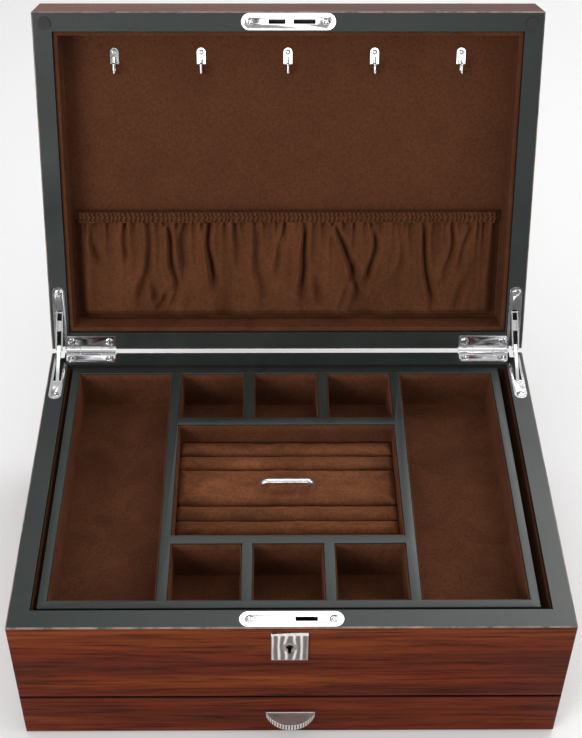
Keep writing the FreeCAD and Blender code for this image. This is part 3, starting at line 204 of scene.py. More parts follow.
class Finish:
    """One node material, or the sky, while it is being put together."""

    def __init__(self, name, kind="materials", shader="Principled BSDF"):
        self.made = getattr(bpy.data, kind).new(name)
        self.made.use_nodes = True
        self.tree = self.made.node_tree
        self.shader = self.tree.nodes[shader]

    def add(self, kind, inputs=None, **settings):
        """Adds a node; an input is a number, a colour or another node's output."""
        node = self.tree.nodes.new("ShaderNode" + kind)
        for key, value in settings.items():
            setattr(node, key, value)
        self.set(node, inputs or {})
        return node

    def set(self, node, inputs):
        for key, value in inputs.items():
            if isinstance(value, bpy.types.NodeSocket):
                self.tree.links.new(value, node.inputs[key])
            else:
                node.inputs[key].default_value = value

    def surface(self, **inputs):
        """Sets the shader's own sockets; an underscore stands for a space."""
        self.set(self.shader, {key.replace("_", " "): value for key, value in inputs.items()})
        return self.made

    def coordinates(self, stretch=(1.0, 1.0, 1.0), turn=(0.0, 0.0, 0.0)):
        where = self.add("TexCoord").outputs["Object"]
        mapping = self.add("Mapping", {"Vector": where, "Scale": stretch, "Rotation": turn})
        return mapping.outputs["Vector"]

    def clouds(self, where, scale, detail=4.0, roughness=0.55, distortion=0.0):
        return self.add("TexNoise", {
            "Vector": where, "Scale": scale, "Detail": detail, "Roughness": roughness,
            "Distortion": distortion,
        }).outputs["Fac"]

    def ramp(self, factor, *stops):
        """A colour ramp through (place, colour) stops."""
        node = self.add("ValToRGB", {"Fac": factor})
        elements = node.color_ramp.elements
        while len(elements) < len(stops):
            elements.new(0.5)
        for element, (place, shade) in zip(elements, stops):
            element.position = place
            element.color = (*shade, 1.0)
        return node.outputs["Color"]

    def remap(self, value, low, high, start=0.0, end=1.0):
        return self.add("MapRange", {
            "Value": value, "From Min": start, "From Max": end, "To Min": low, "To Max": high,
        }).outputs["Result"]

    def maths(self, operation, first, second):
        return self.add("Math", {0: first, 1: second}, operation=operation).outputs["Value"]

    def painted_shade_of_piece(self, *stops):
        """Painted shade from the height that the piece's maker stored in its vertices: low values darken,
        high ones stay light.
        """
        height = self.add("Attribute", attribute_name="relief").outputs["Fac"]
        return self.ramp(height, *stops)

    def multiply(self, factor, first, second):
        node = self.add("Mix", data_type="RGBA", blend_type="MULTIPLY")
        self.set(node, {0: factor, 6: first, 7: second})
        return node.outputs[2]

    def relief(self, height, depth, strength=1.0):
        return self.add("Bump", {"Height": height, "Distance": depth, "Strength": strength}).outputs["Normal"]


def shade(tint, factor):
    return tuple(min(1.0, channel * factor) for channel in tint)


def solid(tint):
    return (*tint, 1.0)


def grey(level):
    return (level, level, level)


def veneer(name, wood, along="x", in_lid=False):
    """Glossy veneer whose grain runs along one axis."""
    finish = Finish(name)
    upright = finish.coordinates(turn=(LID_OPEN if in_lid else 0.0, 0.0, 0.0))
    long_way = {"x": (0.045, 1.0, 1.0), "y": (1.0, 0.045, 1.0)}[along]
    grain = finish.add("Mapping", {"Vector": upright, "Scale": long_way}).outputs["Vector"]
    wander = finish.clouds(grain, 34.0, 5.0, 0.6, 0.5)
    lines = finish.clouds(grain, 330.0, 6.0, 0.66, 0.25)
    fibres = finish.clouds(grain, 1700.0, 3.0, 0.6)
    body = finish.ramp(
        wander,
        (0.30, shade(wood.streak, 2.2)), (0.43, shade(wood.heart, 0.78)), (0.52, wood.heart),
        (0.60, shade(wood.glow, 0.75)), (0.72, wood.glow),
    )
    dark = finish.ramp(lines, (0.36, (0.10, 0.07, 0.06)), (0.46, (0.62, 0.58, 0.55)), (0.57, grey(1.0)))
    pores = finish.ramp(fibres, (0.34, (0.45, 0.40, 0.38)), (0.46, grey(1.0)))
    tint = finish.multiply(0.45, finish.multiply(0.72, body, dark), pores)
    return finish.surface(
        Base_Color=tint, Roughness=finish.remap(lines, 0.18, 0.30), Specular_IOR_Level=0.04,
        Coat_Weight=0.03, Coat_Roughness=0.04, Normal=finish.relief(fibres, 0.02 * MM, 0.3),
    )


def lacquer(wood):
    """Satin black-green lacquer, hazed by handling."""
    finish = Finish("satin_lacquer")
    where = finish.coordinates()
    haze = finish.clouds(where, 22.0, 7.0, 0.6, 0.4)
    orange_peel = finish.clouds(where, 900.0, 2.0)
    rubbed = finish.clouds(finish.coordinates((1.0, 0.2, 1.0)), 260.0, 3.0)
    tint = finish.ramp(haze, (0.30, shade(wood.lacquer, 0.85)), (0.72, shade(wood.lacquer, 1.35)))
    worn = finish.ramp(rubbed, (0.42, grey(0.92)), (0.60, grey(1.0)))
    return finish.surface(
        Base_Color=finish.multiply(1.0, tint, worn), Roughness=finish.remap(haze, 0.30, 0.40, 0.3, 0.7),
        Specular_IOR_Level=0.5, Normal=finish.relief(orange_peel, 0.015 * MM, 0.5),
    )


def one_grain(name, stops, noise_facts, rough, gloss, bump, stretch=(1.0, 1.0, 1.0)):
    """A finish whose single grain tints, roughens and raises it; bump is a depth and a strength."""
    finish = Finish(name)
    grain = finish.clouds(finish.coordinates(stretch), *noise_facts)
    return finish.surface(
        Base_Color=finish.ramp(grain, *stops), Roughness=finish.remap(grain, *rough),
        Specular_IOR_Level=gloss, Normal=finish.relief(grain, *bump),
    )


def suede(name, tint, nap=1.0, stretch=(1.0, 1.0, 1.0), sheen=0.30, contrast=0.3, paints_crease_shade=False):
    """Brushed microfibre: short fibres, and broad strokes where the nap was laid over."""
    finish = Finish(name)
    where = finish.coordinates()
    laid = finish.coordinates(stretch)
    fibres = finish.clouds(where, 2600.0, 3.0, 0.7)
    tufts = finish.clouds(where, 520.0, 4.0, 0.65)
    strokes = finish.clouds(laid, 34.0 * nap, 5.0, 0.62, 0.9)
    broad = finish.clouds(laid, 9.0 * nap, 3.0, 0.5, 0.5)
    base = finish.ramp(
        finish.maths("ADD", finish.maths("MULTIPLY", strokes, 0.6), finish.maths("MULTIPLY", broad, 0.4)),
        (0.32, shade(tint, 1.0 - contrast)), (0.50, tint), (0.66, shade(tint, 1.0 + contrast)),
    )
    speckle = finish.ramp(tufts, (0.34, grey(0.68)), (0.52, grey(0.96)), (0.68, grey(1.12)))
    tinted = finish.multiply(0.8, base, speckle)
    if paints_crease_shade:
        # Painted shade: the pocket's fold valleys darken by the relief that its maker stored.
        creases = finish.painted_shade_of_piece(
            (0.0, (0.38, 0.36, 0.35)), (0.45, (0.82, 0.81, 0.80)), (0.8, grey(1.08))
        )
        tinted = finish.multiply(1.0, tinted, creases)
    height = finish.maths("ADD", finish.maths("MULTIPLY", fibres, 0.4), finish.maths("MULTIPLY", tufts, 0.6))
    return finish.surface(
        Base_Color=tinted, Roughness=0.92, Specular_IOR_Level=0.12,
        Sheen_Weight=sheen, Sheen_Roughness=0.35, Sheen_Tint=solid(shade(tint, 4.0)),
        Normal=finish.relief(height, 0.12 * MM, 0.8),
    )


def chrome(name, tint, brushed=0.0, cast=False):
    """Polished plate with hairline scratches and faint smears; a cast one also takes painted shade in its
    hollows and on its sides.
    """
    finish = Finish(name)
    where = finish.coordinates()
    hair = finish.clouds(finish.coordinates((0.08, 1.0, 1.0)), 2200.0, 2.0)
    smear = finish.clouds(where, 120.0, 4.0)
    smeared = finish.remap(smear, 0.05, 0.13, 0.3, 0.7)
    gloss = finish.maths("ADD", smeared, finish.remap(hair, 0.0, 0.04 + brushed))
    base = finish.ramp(smear, (0.3, shade(tint, 0.93)), (0.7, tint))
    if cast:
        # Painted shade: the cast pieces darken in their hollows and on their sides and stay light on crests
        # and tops.
        painted_hollow_shade = finish.painted_shade_of_piece(
            (0.0, (0.15, 0.12, 0.105)), (0.55, (0.42, 0.365, 0.335)), (0.85, (0.95, 0.93, 0.91))
        )
        base = finish.multiply(1.0, base, painted_hollow_shade)
    return finish.surface(
        Base_Color=base, Metallic=0.8 if cast else 1.0, Roughness=gloss,
        Normal=finish.relief(hair, 0.004 * MM, 0.4),
    )


MATERIALS = {}  # filled by the first operator, read by the others


def make_materials(looks):
    wood, cloth, metal = looks.wood, looks.cloth, looks.metal
    along_board = (0.05, 1.0, 1.0)
    MATERIALS.update({
        "case_long": veneer("veneer_case_long", wood, "x"),
        "case_side": veneer("veneer_case_side", wood, "y"),
        "lid_long": veneer("veneer_lid_long", wood, "x", True),
        "lid_side": veneer("veneer_lid_side", wood, "y", True),
        "lacquer": lacquer(wood),
        "board": one_grain(
            "plain_board",
            ((0.35, shade(wood.board, 0.55)), (0.55, wood.board), (0.7, shade(wood.board, 1.3))),
            (240.0, 5.0, 0.6, 0.3), (0.55, 0.75), 0.3, (0.05 * MM, 0.6), along_board,
        ),
        # Painted highlight for the rounded arris between the lacquered rim and the veneer, streaked by noise.
        "arris": one_grain(
            "painted_arris_highlight",
            ((0.35, shade(wood.lacquer, 3.0)), (0.50, wood.edge), (0.68, shade(wood.edge, 1.5))),
            (90.0, 5.0, 0.6), (0.25, 0.4), 0.5, (0.02 * MM, 0.4),
        ),
        # Painted shade for the gap above the drawer: a dark finish for the drawer front's top faces.
        "painted_gap_shade": one_grain(
            "painted_gap_shade_finish", ((0.35, shade(wood.streak, 0.25)), (0.65, shade(wood.streak, 0.6))),
            (300.0, 4.0), (0.5, 0.7), 0.1, (0.02 * MM, 0.4), along_board,
        ),
        "suede": suede("suede_lining", cloth.suede),
        # A darkened copy of the lining suede: painted shade for the case's walls down beside the tray.
        "painted_shade_suede": suede("suede_wall_painted_shade", shade(cloth.suede, 0.55)),
        "panel": suede("suede_panel", cloth.suede, 1.0, contrast=0.10),
        # The pocket's suede takes painted shade in its creases.
        "pocket": suede("suede_pocket", cloth.pocket, 0.8, (1.0, 0.45, 0.35), 0.42, 0.2, True),
        "velvet": suede("roll_velvet", cloth.velvet, 1.3, (0.6, 1.4, 1.0), 0.45, 0.42),
        "felt": suede("base_felt", cloth.felt, 2.0),
        "thread": suede("thread", cloth.thread, 3.0),
        "chrome": chrome("polished_chrome", metal.chrome),
        "satin": chrome("satin_chrome", metal.chrome, 0.3),
        # The cast chrome carries painted shade from each piece's stored relief.
        "cast": chrome("cast_chrome", metal.chrome, 0.6, True),
        "steel": chrome("screw_steel", metal.steel, 0.08),
        "rubber": one_grain(
            "bumper_rubber", ((0.3, grey(0.012)), (0.7, grey(0.03))),
            (1500.0, 3.0), (0.6, 0.8), 0.5, (0.03 * MM, 0.5),
        ),
    })


# ---- making pieces


def block(mesh, low, high):
    """A box between two corners; returns its vertices."""
    verts = bmesh.ops.create_cube(mesh, size=1.0)["verts"]
    bmesh.ops.scale(mesh, vec=Vector(high) - Vector(low), verts=verts)
    bmesh.ops.translate(mesh, vec=(Vector(high) + Vector(low)) / 2, verts=verts)
    return verts


def ease(mesh, edges, width, segments=3):
    """Rounds edges over."""
    return bmesh.ops.bevel(
        mesh, geom=list(edges), offset=width, offset_type="OFFSET", segments=segments, profile=0.5,
        affect="EDGES", clamp_overlap=True, material=-1,
    )


def ruled(mesh, axis, places):
    """Cuts everything through at each place along an axis."""
    normal = Vector([float(n == axis) for n in range(3)])
    for place in places:
        geometry = mesh.verts[:] + mesh.edges[:] + mesh.faces[:]
        bmesh.ops.bisect_plane(mesh, geom=geometry, dist=1e-7, plane_co=normal * place, plane_no=normal)


def evenly(low, high, step):
    """Places between low and high, about a step apart, both ends left out."""
    count = max(1, round((high - low) / step))
    return [low + (high - low) * n / count for n in range(1, count)]


def make_piece(name, mesh, body, material, in_lid=False, replaces=(), sharp=35.0, recalc=True):
    """Turns a shape into an object that rides on a body, with its place in its mesh."""
    if recalc:
        bmesh.ops.remove_doubles(mesh, verts=mesh.verts, dist=0.0005 * MM)
        bmesh.ops.recalc_face_normals(mesh, faces=mesh.faces)
    if in_lid:
        bmesh.ops.transform(mesh, matrix=LID, verts=mesh.verts)
    data = bpy.data.meshes.new(name)
    mesh.to_mesh(data)
    mesh.free()
    data.shade_smooth()
    data.set_sharp_from_angle(angle=math.radians(sharp))
    data.materials.append(MATERIALS[material])
    piece = bpy.data.objects.new(name, data)
    bpy.context.scene.collection.objects.link(piece)
    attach(piece, body)
    if replaces:
        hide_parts(*replaces)
    return piece


def wall_thickness(piece, thickness):
    """Gives an open skin its thickness, inwards."""
    solidify = piece.modifiers.new("wall", "SOLIDIFY")
    solidify.thickness = thickness
    solidify.offset = -1.0
    solidify.use_even_offset = True


def eased_copy(node, body, width):
    """A plate's own shape with its sharp edges eased, standing for the node."""
    mesh = node_shape(node)
    bmesh.ops.dissolve_limit(
        mesh, angle_limit=math.radians(0.5), verts=mesh.verts, edges=mesh.edges, use_dissolve_boundaries=False
    )
    piece = make_piece(node + "_polished", mesh, body, "chrome", replaces=(node,), recalc=False)
    bevel = piece.modifiers.new("eased", "BEVEL")
    bevel.width = width
    bevel.segments = 2
    bevel.limit_method = "ANGLE"
    bevel.angle_limit = math.radians(40)
    bevel.harden_normals = True


def cut_sheet(mesh, low, high, holes, level):
    """A flat sheet with rectangular holes in it."""
    made = bmesh.ops.create_grid(mesh, x_segments=1, y_segments=1, size=0.5)["verts"]
    bmesh.ops.scale(mesh, vec=(high.x - low.x, high.y - low.y, 1.0), verts=made)
    bmesh.ops.translate(mesh, vec=((high.x + low.x) / 2, (high.y + low.y) / 2, level), verts=made)
    for axis in (0, 1):
        ruled(mesh, axis, sorted({round(corner[axis], 6) for hole in holes for corner in hole}))
    inside = []
    for face in mesh.faces:
        middle = face.calc_center_median()
        for start, end in holes:
            if start.x < middle.x < end.x and start.y < middle.y < end.y:
                inside.append(face)
                break
    bmesh.ops.delete(mesh, geom=inside, context="FACES")


def thicken(mesh, faces, drop):
    """Extrudes faces by a drop along z and returns the new end faces."""
    made = bmesh.ops.extrude_face_region(mesh, geom=list(faces))["geom"]
    verts = [item for item in made if isinstance(item, bmesh.types.BMVert)]
    bmesh.ops.translate(mesh, vec=(0.0, 0.0, -drop), verts=verts)
    return [item for item in made if isinstance(item, bmesh.types.BMFace)]


def in_order(mesh):
    """Sorts a shape's parts by place, because an extrusion leaves them in another order each run."""
    for parts in (mesh.verts, mesh.edges, mesh.faces):
        places = {}
        for part in parts:
            corners = [vert.co for vert in getattr(part, "verts", [part])]
            places[part] = [round(sum(co[axis] for co in corners), 6) for axis in range(3)]
        rank = {part: float(n) for n, part in enumerate(sorted(places, key=places.get))}
        parts.sort(key=rank.get)


def square_edges(mesh, level):
    """Edges in one level where two faces meet squarely."""
    return [
        edge for edge in mesh.edges
        if len(edge.link_faces) == 2 and edge.calc_face_angle() > math.radians(60)
        and all(abs(vert.co.z - level) < TOUCH for vert in edge.verts)
    ]


def ripple(mesh, amount, pitch, seed):
    """Moves a skin off its board by soft, uneven amounts."""
    mesh.normal_update()
    moves = [
        (vert, vert.normal * amount * noise.noise((vert.co + Vector((seed, 0.0, 0.0))) / pitch))
        for vert in mesh.verts
    ]
    for vert, move in moves:
        vert.co += move


# ---- operators


class BoxOperator(bpy.types.Operator):
    bl_options = {"REGISTER", "UNDO"}

    @property
    def looks(self):
        return bpy.context.scene.jewelry_box


def coated(node, *finishes):
    """Gives a node's own mesh its finishes; every face takes the first."""
    data = NODES[node].data
    data.materials.clear()
    for finish in finishes:
        data.materials.append(MATERIALS[finish])
    return data


def two_coats(node, coat, outward, rim, in_lid=False):
    """Veneer on a board's outer face, lacquer on its rim and inside, and a painted highlight on the arris
    between.
    """
    data = coated(node, coat, "lacquer", "arris")
    turn = LID.inverted() if in_lid else Matrix()
    for face in data.polygons:
        height = (turn @ face.center).z
        past_rim = height < rim if in_lid else height > rim
        facing = (turn.to_3x3() @ face.normal).dot(outward)
        face.material_index = int(past_rim or facing < 0.3)
        # The arris faces take the painted highlight.
        if past_rim and 0.2 < facing < 0.98:
            face.material_index = 2


class JEWELRY_OT_finishes(BoxOperator):
    """Mixes the veneer, lacquer, suede and chrome that the pieces take"""

    bl_idname = "jewelry.finishes"
    bl_label = "Finishes"

    def execute(self, context):
        make_materials(self.looks)
        return {"FINISHED"}


class JEWELRY_OT_boards(BoxOperator):
    """Veneers the boards and lacquers their rims"""

    bl_idname = "jewelry.boards"
    bl_label = "Boards"

    def execute(self, context):
        wood = self.looks.wood
        case_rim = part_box("case_back")[1].z - wood.rim_depth
        lid_rim = lid_box("lid_back_rail")[0].z + wood.rim_depth
        ways = {"front": (0, -1, 0), "back": (0, 1, 0), "left": (-1, 0, 0), "right": (1, 0, 0)}
        for way, outward in ways.items():
            run = "side" if outward[0] else "long"
            case_board = f"case_{way}_side" if outward[0] else f"case_{way}"
            two_coats(case_board, "case_" + run, Vector(outward), case_rim)
            two_coats(f"lid_{way}_rail", "lid_" + run, Vector(outward), lid_rim, True)
        # The drawer front's upward faces take painted shade, darkening the gap between the drawer and the
        # case front above it.
        for face in coated("drawer_front", "case_long", "painted_gap_shade").polygons:
            face.material_index = int(face.normal.z > 0.3)
        coats = {
            "lid_long": ("lid_top_panel",),
            "board": (
                "case_bottom", "case_divider", "drawer_back", "drawer_bottom", "drawer_sides",
                "drawer_runners", "drawer_stop", "lid_panel_board", "tray_bottom", "tray_ledges",
            ),
            "chrome": (
                "hinge_pins", "stay_lid_pins", "necklace_hooks", "tray_handle_screws",
                "drawer_pull_screws",
            ),
            "satin": ("tray_handle",),
            "steel": ("lock_case", "lock_bolt"),
            "rubber": ("lid_bumpers",),
        }
        for material, nodes in coats.items():
            for node in nodes:
                coated(node, material)
        return {"FINISHED"}


class JEWELRY_OT_tray_frame(BoxOperator):
    """Makes the tray's lacquered frame in one piece"""

    bl_idname = "jewelry.tray_frame"
    bl_label = "Tray frame"

    def execute(self, context):
        low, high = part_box("tray_walls")
        floor_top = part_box("tray_bottom")[1].z
        bays = islands("tray_linings")
        mesh = bmesh.new()
        cut_sheet(mesh, low, high, bays, high.z)
        ends = thicken(mesh, mesh.faces[:], high.z - floor_top)
        room_low, room_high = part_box("tray_bottom")
        outer = []
        for face in ends:
            middle = face.calc_center_median()
            inside_x = room_low.x < middle.x < room_high.x
            inside_y = room_low.y < middle.y < room_high.y
            if not (inside_x and inside_y):
                outer.append(face)
        thicken(mesh, outer, floor_top - low.z)
        bmesh.ops.recalc_face_normals(mesh, faces=mesh.faces)
        in_order(mesh)
        bmesh.ops.dissolve_limit(mesh, angle_limit=0.01, verts=mesh.verts, edges=mesh.edges)
        ease(mesh, square_edges(mesh, high.z), self.looks.wood.tray_bevel)
        make_piece(
            "tray_frame", mesh, "tray", "lacquer",
            replaces=("tray_walls", "tray_long_dividers", "tray_cross_dividers", "tray_short_dividers"),
        )
        return {"FINISHED"}


def lined_tub(name, low, high, body, cloth, replaces=(), step=4.0 * MM, seed=0.0):
    """Suede glued into a bay: rounded in its corners, and not quite flat."""
    mesh = bmesh.new()
    block(mesh, low, high)
    lid = [face for face in mesh.faces if face.normal.z > 0.5]
    bmesh.ops.delete(mesh, geom=lid, context="FACES")
    corners = [edge for edge in mesh.edges if len(edge.link_faces) == 2]
    ease(mesh, corners, cloth.corner, 3)
    for axis in range(3):
        ruled(mesh, axis, evenly(low[axis] + cloth.corner, high[axis] - cloth.corner, step))
    bmesh.ops.recalc_face_normals(mesh, faces=mesh.faces)
    outward = sum((face.normal.dot(face.calc_center_median() - (low + high) / 2) for face in mesh.faces))
    if outward < 0:
        bmesh.ops.reverse_faces(mesh, faces=mesh.faces)
    ripple(mesh, -cloth.ripple, 14.0 * MM, seed)
    piece = make_piece(name, mesh, body, "suede", replaces=replaces, sharp=60.0, recalc=False)
    wall_thickness(piece, SUEDE)


class JEWELRY_OT_tray_linings(BoxOperator):
    """Lines the tray's bays, the drawer and the well under the tray"""

    bl_idname = "jewelry.tray_linings"
    bl_label = "Tray and drawer linings"

    def execute(self, context):
        cloth = self.looks.cloth
        for n, (low, high) in enumerate(islands("tray_linings"), start=1):
            stood_for = ("tray_linings",) if n == 1 else ()
            lined_tub(f"bay_lining_{n}", low, high, "tray", cloth, stood_for, seed=n * 1.7)
        low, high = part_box("drawer_lining")
        lined_tub("drawer_suede", low, high, "drawer", cloth, ("drawer_lining",), 8.0 * MM, 5.0)
        low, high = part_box("case_floor_lining")
        mesh = bmesh.new()
        block(mesh, low, high)
        ease(mesh, square_edges(mesh, high.z), 0.4 * MM)
        for axis in (0, 1):
            ruled(mesh, axis, evenly(low[axis] + MM, high[axis] - MM, 8.0 * MM))
        make_piece("well_floor", mesh, "case", "suede", replaces=("case_floor_lining",))
        return {"FINISHED"}


def lined_ring(name, low, high, skin, ends, body, replaces, material, in_lid=False):
    """A suede-covered frame against four walls; ends is the sign of the z side that shows."""
    mesh = bmesh.new()
    inner = (low + Vector((skin, skin, 0.0)), high - Vector((skin, skin, 0.0)))
    cut_sheet(mesh, low, high, [inner], high.z)
    thicken(mesh, mesh.faces[:], high.z - low.z)
    bmesh.ops.recalc_face_normals(mesh, faces=mesh.faces)
    ease(mesh, square_edges(mesh, high.z if ends > 0 else low.z), min(0.45 * skin, 0.9 * MM))
    make_piece(name, mesh, body, material, in_lid=in_lid, replaces=replaces)


class JEWELRY_OT_wall_linings(BoxOperator):
    """Lines the walls of the case and the lid, and covers the lid's panel"""

    bl_idname = "jewelry.wall_linings"
    bl_label = "Wall linings"

    def execute(self, context):
        low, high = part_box("case_wall_lining")
        # The case's wall lining takes the darkened suede, painted shade in the narrow gap round the tray.
        lined_ring("well_wall", low, high, CASE_SKIN, 1, "case", ("case_wall_lining",), "painted_shade_suede")
        low, high = lid_box("lid_wall_lining")
        lined_ring("lid_wall", low, high, LID_SKIN, -1, "lid", ("lid_wall_lining",), "suede", True)
        low, high = lid_box("lid_panel_suede")
        mesh = bmesh.new()
        block(mesh, low, high)
        for axis in (0, 1):
            ruled(mesh, axis, evenly(low[axis], high[axis], 5.0 * MM))
        for vert in mesh.verts:
            if vert.co.z < low.z + TOUCH:
                wave = noise.noise(vert.co / (32.0 * MM)) + 0.4 * noise.noise(vert.co / (11.0 * MM))
                vert.co.z -= self.looks.cloth.ripple * (0.6 + wave)
        make_piece("lid_panel", mesh, "lid", "panel", True, ("lid_panel_suede",))
        return {"FINISHED"}


class JEWELRY_OT_hardware(BoxOperator):
    """Eases the edges of the plates, hinge leaves and stays"""

    bl_idname = "jewelry.hardware"
    bl_label = "Plates, hinges and stays"

    def execute(self, context):
        width = self.looks.metal.edge
        jobs = [("lock_plate", "case"), ("strike_plate", "lid")]
        for side in ("left", "right"):
            jobs += [
                (f"hinge_case_leaf_{side}", "case"), (f"hinge_lid_leaf_{side}", "lid"),
                (f"stay_upper_link_{side}", f"stay_upper_{side}"),
                (f"stay_lower_link_{side}", f"stay_lower_{side}"),
            ]
        for node, body in jobs:
            eased_copy(node, body, width)
        return {"FINISHED"}


KEYHOLE_DROP = 13.5 * MM  # from the escutcheon's top edge
WAVE_PITCH, WAVE_HEIGHT = 4.3 * MM, 0.42 * MM
LIP_FALL = 0.8 * MM  # how far the top edge rolls back to the board


class JEWELRY_OT_escutcheon(BoxOperator):
    """Casts the keyhole plate in waves that part round the keyhole"""

    bl_idname = "jewelry.escutcheon"
    bl_label = "Escutcheon"

    def execute(self, context):
        low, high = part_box("escutcheon")
        keyhole = Vector(((low.x + high.x) / 2, low.y, high.z - KEYHOLE_DROP))
        mesh = node_shape("escutcheon")
        ruled(mesh, 0, evenly(low.x, high.x, 0.45 * MM))
        ruled(mesh, 2, evenly(low.z, high.z, 0.8 * MM))
        bmesh.ops.remove_doubles(mesh, verts=mesh.verts, dist=WELD)
        # relief carries painted shade: the plate's sides and the wave valleys come out dark, the crests and
        # the rolled lip light.
        relief = mesh.verts.layers.float.new("relief")
        for vert in mesh.verts:
            vert[relief] = 0.3
            if vert.co.y > low.y + 0.01 * MM:
                continue
            side, rise = vert.co.x - keyhole.x, vert.co.z - keyhole.z
            near = math.exp(-((rise / (6.5 * MM)) ** 2) - abs(side) / (8.0 * MM))
            parting = -2.6 * MM * math.tanh(side / (1.5 * MM)) * near
            sway = 0.35 * MM * math.sin(rise / (3.4 * MM) + side / (5.0 * MM))
            wave = math.cos(2 * math.pi * (side + parting + sway) / WAVE_PITCH + 2.6)
            from_edge = min(vert.co.x - low.x, high.x - vert.co.x, vert.co.z - low.z, high.z - vert.co.z)
            from_hole = Vector((side, rise)).length - 4.0 * MM
            fade = smooth_step(from_edge / (1.6 * MM)) * smooth_step(from_hole / (1.5 * MM))
            height = (0.5 + 0.5 * wave) ** 2.2
            lip = 1.0 - smooth_step((high.z - vert.co.z) / (3.2 * MM))
            vert[relief] = max(min(1.0, 2.0 * lip), 0.45 + (height - 0.30) * fade)
            vert.co.y += LIP_FALL * lip - WAVE_HEIGHT * fade * height
        make_piece(
            "waved_escutcheon", mesh, "case", "cast", replaces=("escutcheon",), recalc=False
        )
        return {"FINISHED"}


def screw_head(mesh, middle, radius, up, dome):
    """A domed head with a crossed recess, its top towards up times z."""
    made = bmesh.ops.create_uvsphere(mesh, u_segments=32, v_segments=16, radius=radius)["verts"]
    keep = [vert for vert in made if vert.co.z > -0.02 * radius]
    bmesh.ops.delete(mesh, geom=[vert for vert in made if vert not in keep], context="VERTS")
    for vert in keep:
        across = min(abs(vert.co.x), abs(vert.co.y)) / radius
        reach = max(abs(vert.co.x), abs(vert.co.y)) / radius
        vert.co.z *= dome / radius
        if across < 0.14 and reach < 0.62:
            vert.co.z = -0.6 * dome
    bmesh.ops.rotate(mesh, verts=keep, cent=(0, 0, 0), matrix=Matrix.Rotation(0.5, 3, "Z"))
    if up < 0:
        bmesh.ops.scale(mesh, vec=(1.0, 1.0, -1.0), verts=keep)
    bmesh.ops.translate(mesh, vec=middle, verts=keep)


class JEWELRY_OT_screws(BoxOperator):
    """Makes the domed screws of the hinges, plates and hooks"""

    bl_idname = "jewelry.screws"
    bl_label = "Screws"

    def execute(self, context):
        dome = self.looks.metal.dome
        inward = LID.inverted()
        jobs = (
            ("case_screws", "case", 1, None),
            ("lid_screws", "lid", -1, inward),
            ("hook_screws", "lid", -1, inward),
        )
        for node, body, up, place in jobs:
            mesh = bmesh.new()
            for low, high in islands(node, place):
                middle = (low + high) / 2
                middle.z = high.z if up > 0 else low.z
                screw_head(mesh, middle, (high.x - low.x) / 2 + 0.1 * MM, up, dome)
            make_piece(
                node + "_domed", mesh, body, "steel", in_lid=place is not None,
                replaces=(node,), sharp=50.0,
            )
        return {"FINISHED"}


STEPS_PER_REED = 6
REED_DEPTH = 0.8 * MM
PULL_RIM, PULL_SINK = 0.5 * MM, 0.25 * MM  # the raised rim round the pull's top, and its height


class JEWELRY_OT_pull(BoxOperator):
    """Makes the half-moon pull with its reeded edge"""

    bl_idname = "jewelry.pull"
    bl_label = "Drawer pull"

    def execute(self, context):
        low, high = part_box("drawer_pull")
        half = (high.x - low.x) / 2
        reach = high.y - low.y
        radius = (half * half + reach * reach) / (2 * reach)
        centre = Vector(((low.x + high.x) / 2, low.y + radius, low.z))
        sweep = math.asin(half / radius)
        reeds = self.looks.metal.reeds
        mesh = bmesh.new()
        tip = mesh.verts.new((low.x, high.y, low.z))
        bmesh.ops.spin(
            mesh, geom=[tip], cent=centre, axis=(0, 0, 1), angle=2 * sweep, steps=reeds * STEPS_PER_REED
        )
        mesh.faces.new(mesh.verts[:])
        top = thicken(mesh, mesh.faces[:], low.z - high.z)
        rim = bmesh.ops.inset_region(mesh, faces=top, thickness=PULL_RIM, use_even_offset=True)["faces"]
        inner = [face for face in top if face.is_valid and face not in rim]
        sunk = {vert for face in inner for vert in face.verts}
        bmesh.ops.translate(mesh, vec=(0.0, 0.0, -PULL_SINK), verts=list(sunk))
        ruled(mesh, 2, evenly(low.z, high.z - 1.0 * MM, 0.9 * MM))
        # relief carries painted shade: the pull's top stays light, its reeded side and the grooves come out
        # dark.
        relief = mesh.verts.layers.float.new("relief")
        for vert in mesh.verts:
            vert[relief] = 0.95 if vert.co.z > high.z - 0.4 * MM else 0.55
            flat = Vector((vert.co.x - centre.x, vert.co.y - centre.y, 0.0))
            on_edge = flat.length > radius - 0.05 * MM and vert.co.y < high.y - 0.2 * MM
            if on_edge and low.z + 0.3 * MM < vert.co.z < high.z - 1.2 * MM:
                turn = math.atan2(flat.x, -flat.y)
                groove = 1.0 - abs(math.sin(math.pi * reeds * (turn + sweep) / (2 * sweep)))
                vert.co -= flat.normalized() * REED_DEPTH * groove
                vert[relief] = 0.95 - 0.95 * groove
        make_piece("half_moon_pull", mesh, "drawer", "cast", replaces=("drawer_pull",), sharp=40.0)
        return {"FINISHED"}


PAD_STEP = 2.2 * MM  # how finely a pad is cut along its length
WORK_SCALE = 10.0  # the cloth is blown up ten times as large as the pad
VOXEL = 1.4 * MM * WORK_SCALE
PRESSURE = 4.0
LAST_FRAME = 20


class JEWELRY_OT_pads(BoxOperator):
    """Fills the ring rolls, their centre pad and the foam under them"""

    bl_idname = "jewelry.pads"
    bl_label = "Ring rolls"

    def execute(self, context):
        swell = self.looks.cloth.swell
        rolls = sorted(islands("ring_rolls"), key=lambda box: box[0].y)
        for n, (low, high) in enumerate(rolls, start=1):
            stood_for = ("ring_rolls",) if n == 1 else ()
            pad(f"ring_roll_{n}", low, high, swell, 4.6 * MM, n * 2.3, stood_for)
        low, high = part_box("ring_centre_pad")
        pad("centre_pad", low, high, swell, 3.4 * MM, 20.0, ("ring_centre_pad",))
        low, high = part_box("ring_foam_base")
        pad("roll_base", low, high, 0.2 * MM, 1.2 * MM, 31.0, ("ring_foam_base",))
        return {"FINISHED"}


